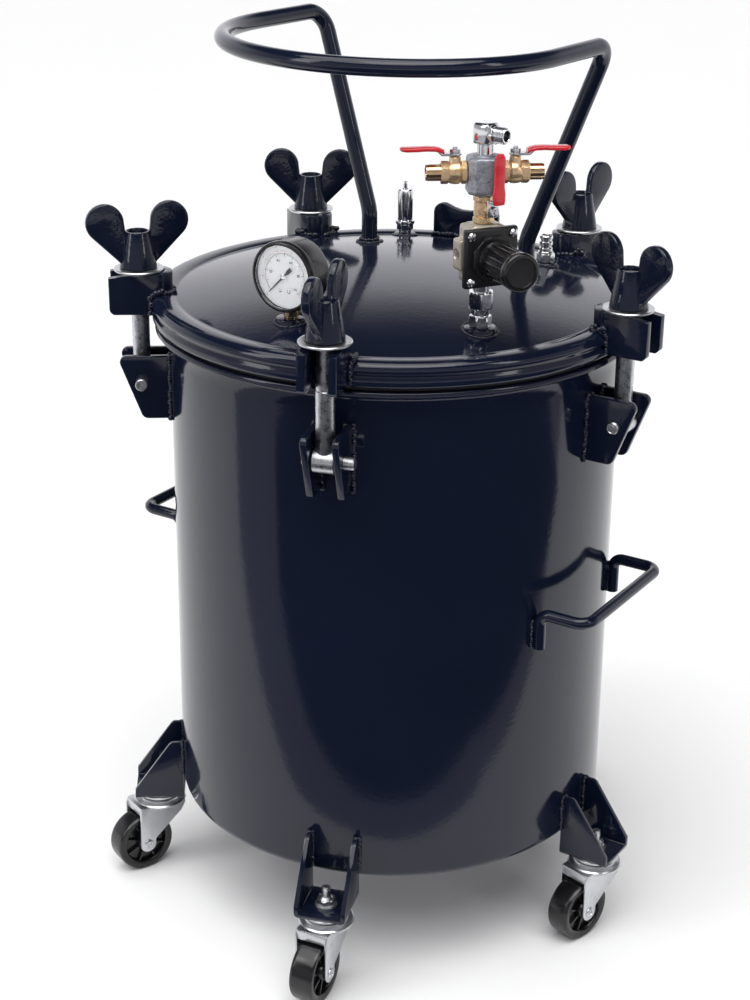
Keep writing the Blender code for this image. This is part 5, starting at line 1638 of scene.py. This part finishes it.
def panel_light(name, size, power, at, aim):
    lamp = bpy.data.lights.new(name, "AREA")
    lamp.shape = "RECTANGLE"
    lamp.size, lamp.size_y = size
    lamp.energy = power
    obj = bpy.data.objects.new(name, lamp)
    bpy.context.scene.collection.objects.link(obj)
    way = Vector(aim) - Vector(at)
    turned = way.to_track_quat("-Z", "Y").to_matrix().to_4x4()
    obj.matrix_world = Matrix.Translation(AXIS_AT + Vector(at)) @ turned
    obj.visible_camera = False
    return obj


def flag(name, edge, height, colour):
    """Studio flag on the floor: only mirrored by the pot, never seen and never shading it."""
    bm = bmesh.new()
    bm.faces.new([bm.verts.new((x, y, height)) for x, y in edge])
    mesh = bpy.data.meshes.new(name)
    bm.to_mesh(mesh)
    bm.free()
    cloth = bpy.data.objects.new(name, mesh)
    cloth.location = AXIS_AT
    bpy.context.scene.collection.objects.link(cloth)
    mesh.materials.append(surface(name, colour, 0.9))
    cloth.visible_camera = cloth.visible_diffuse = cloth.visible_shadow = False
    cloth.visible_transmission = False


def make_flags():
    dark = [(-1.15, -0.72), (-0.70, -0.50), (-0.35, -0.44), (-0.08, -0.42), (0.3, -0.42), (0.62, -0.30),
            (1.1, -0.08), (1.7, -0.5), (1.5, -2.6), (-1.4, -2.6)]
    grey = [(-2.6, -0.2), (-0.9, -0.2), (-0.45, -0.3), (-0.1, -0.34), (0.3, -0.34), (0.7, -0.2), (2.4, 0.1),
            (2.4, -3.0), (-2.6, -3.0)]
    flag("dark_flag", dark, 0.005, (0.006, 0.008, 0.014))
    flag("grey_flag", grey, 0.003, (0.30, 0.30, 0.34))


def make_sun(strength):
    lamp = bpy.data.lights.new("sky_cloth", "SUN")
    lamp.energy = strength
    lamp.angle = math.radians(70.0)
    obj = bpy.data.objects.new("sky_cloth", lamp)
    bpy.context.scene.collection.objects.link(obj)
    obj.matrix_world = tip(12.0, "X") @ tip(-8.0, "Y")


def make_camera():
    stage = setting("pot_stage")
    p, y, r = stage.pitch, stage.yaw, stage.roll
    ahead = Vector((math.sin(y) * math.cos(p), math.cos(y) * math.cos(p), -math.sin(p)))
    right = Vector((math.cos(y), -math.sin(y), 0.0))
    up = right.cross(ahead)
    x = right * math.cos(r) + up * math.sin(r)
    z = -ahead
    lens = bpy.data.cameras.new("camera")
    lens.lens = stage.lens
    lens.sensor_fit = "VERTICAL"
    lens.sensor_height = 36.0
    lens.clip_end = 50.0
    obj = bpy.data.objects.new("camera", lens)
    bpy.context.scene.collection.objects.link(obj)
    turned = Matrix((x, z.cross(x), z)).transposed().to_4x4()
    obj.matrix_world = Matrix.Translation(AXIS_AT + Vector(stage.camera)) @ turned
    bpy.context.scene.camera = obj


def make_stage():
    bpy.context.scene.view_settings.view_transform = "Standard"
    make_floor()
    make_flags()
    make_room()
    make_camera()
    make_sun(2.9)
    panel_light("overhead", (1.6, 1.0), 12.0, (0.0, -0.9, 2.6), (0.0, 0.0, 0.4))
    panel_light("left_strip", (0.5, 1.6), 9.0, (-1.9, -0.9, 1.5), (0.0, 0.0, 0.5))
    panel_light("right_strip", (0.35, 1.2), 5.0, (1.7, -1.3, 1.7), (0.0, 0.0, 0.5))


# ---- operators ----
class PotOperator(bpy.types.Operator):
    bl_options = {"REGISTER", "UNDO"}
    steps = ()

    def execute(self, context):
        for step in self.steps:
            step()
        return {"FINISHED"}


class POT_OT_materials(PotOperator):
    """Makes the node trees and every finish"""
    bl_idname = "pot.materials"
    bl_label = "Finishes"
    steps = (make_materials,)


class POT_OT_vessel(PotOperator):
    """Builds the vessel's shell and its lid seal"""
    bl_idname = "pot.vessel"
    bl_label = "Vessel"
    steps = (make_vessel,)


class POT_OT_lid(PotOperator):
    """Builds the lid with its claws, pads, lug and welds"""
    bl_idname = "pot.lid"
    bl_label = "Lid"
    steps = (make_lid,)


class POT_OT_clamps(PotOperator):
    """Builds the clevises, swing bolts, washers and wing nuts"""
    bl_idname = "pot.clamps"
    bl_label = "Clamps"
    steps = (make_clevises, make_bolts, make_washers, make_wing_nuts)


class POT_OT_casters(PotOperator):
    """Builds the caster brackets, forks and wheels"""
    bl_idname = "pot.casters"
    bl_label = "Casters"
    steps = (make_brackets, make_forks, make_wheels)


class POT_OT_handles(PotOperator):
    """Builds the lid's hoop handle and the two side handles"""
    bl_idname = "pot.handles"
    bl_label = "Handles"
    steps = (make_hoop, make_side_handles)


class POT_OT_gauge(PotOperator):
    """Builds the pressure gauge"""
    bl_idname = "pot.gauge"
    bl_label = "Gauge"
    steps = (make_gauge,)


class POT_OT_regulator(PotOperator):
    """Builds the union, the regulator and its knob"""
    bl_idname = "pot.regulator"
    bl_label = "Regulator"
    steps = (make_union, make_regulator)


class POT_OT_valves(PotOperator):
    """Builds the ball valves, their levers, the manifold and the elbow"""
    bl_idname = "pot.valves"
    bl_label = "Valves"
    steps = (make_low_valve, make_manifold, make_branches, make_elbow)


class POT_OT_lid_fittings(PotOperator):
    """Builds the relief valve and the outlet fitting"""
    bl_idname = "pot.lid_fittings"
    bl_label = "Lid fittings"
    steps = (make_relief, make_outlet)


class POT_OT_stage(PotOperator):
    """Lays the floor and sets the room light, the lamps and the camera"""
    bl_idname = "pot.stage"
    bl_label = "Stage"
    steps = (make_stage,)


OPERATORS = (POT_OT_materials, POT_OT_vessel, POT_OT_lid, POT_OT_clamps, POT_OT_casters, POT_OT_handles,
             POT_OT_gauge, POT_OT_regulator, POT_OT_valves, POT_OT_lid_fittings, POT_OT_stage)


class POT_PT_panel(bpy.types.Panel):
    """Lists the pot's settings and the steps that build it"""
    bl_idname = "POT_PT_panel"
    bl_label = "Pressure pot"
    bl_space_type = "VIEW_3D"
    bl_region_type = "UI"
    bl_category = "Pressure Pot"

    def draw(self, context):
        for group, kind in SETTINGS:
            box = self.layout.box()
            box.label(text=kind.__name__)
            for key in kind.__annotations__:
                box.prop(getattr(context.scene, group), key)
        for operator in OPERATORS:
            self.layout.operator(operator.bl_idname)


def register():
    for group, kind in SETTINGS:
        bpy.utils.register_class(kind)
        setattr(bpy.types.Scene, group, bpy.props.PointerProperty(type=kind))
    for operator in OPERATORS:
        bpy.utils.register_class(operator)
    bpy.utils.register_class(POT_PT_panel)


def unregister():
    bpy.utils.unregister_class(POT_PT_panel)
    for operator in reversed(OPERATORS):
        bpy.utils.unregister_class(operator)
    for group, kind in reversed(SETTINGS):
        delattr(bpy.types.Scene, group)
        bpy.utils.unregister_class(kind)


def main():
    register()
    for operator in OPERATORS:
        area, verb = operator.bl_idname.split(".")
        getattr(getattr(bpy.ops, area), verb)()


if __name__ == "__main__":
    main()
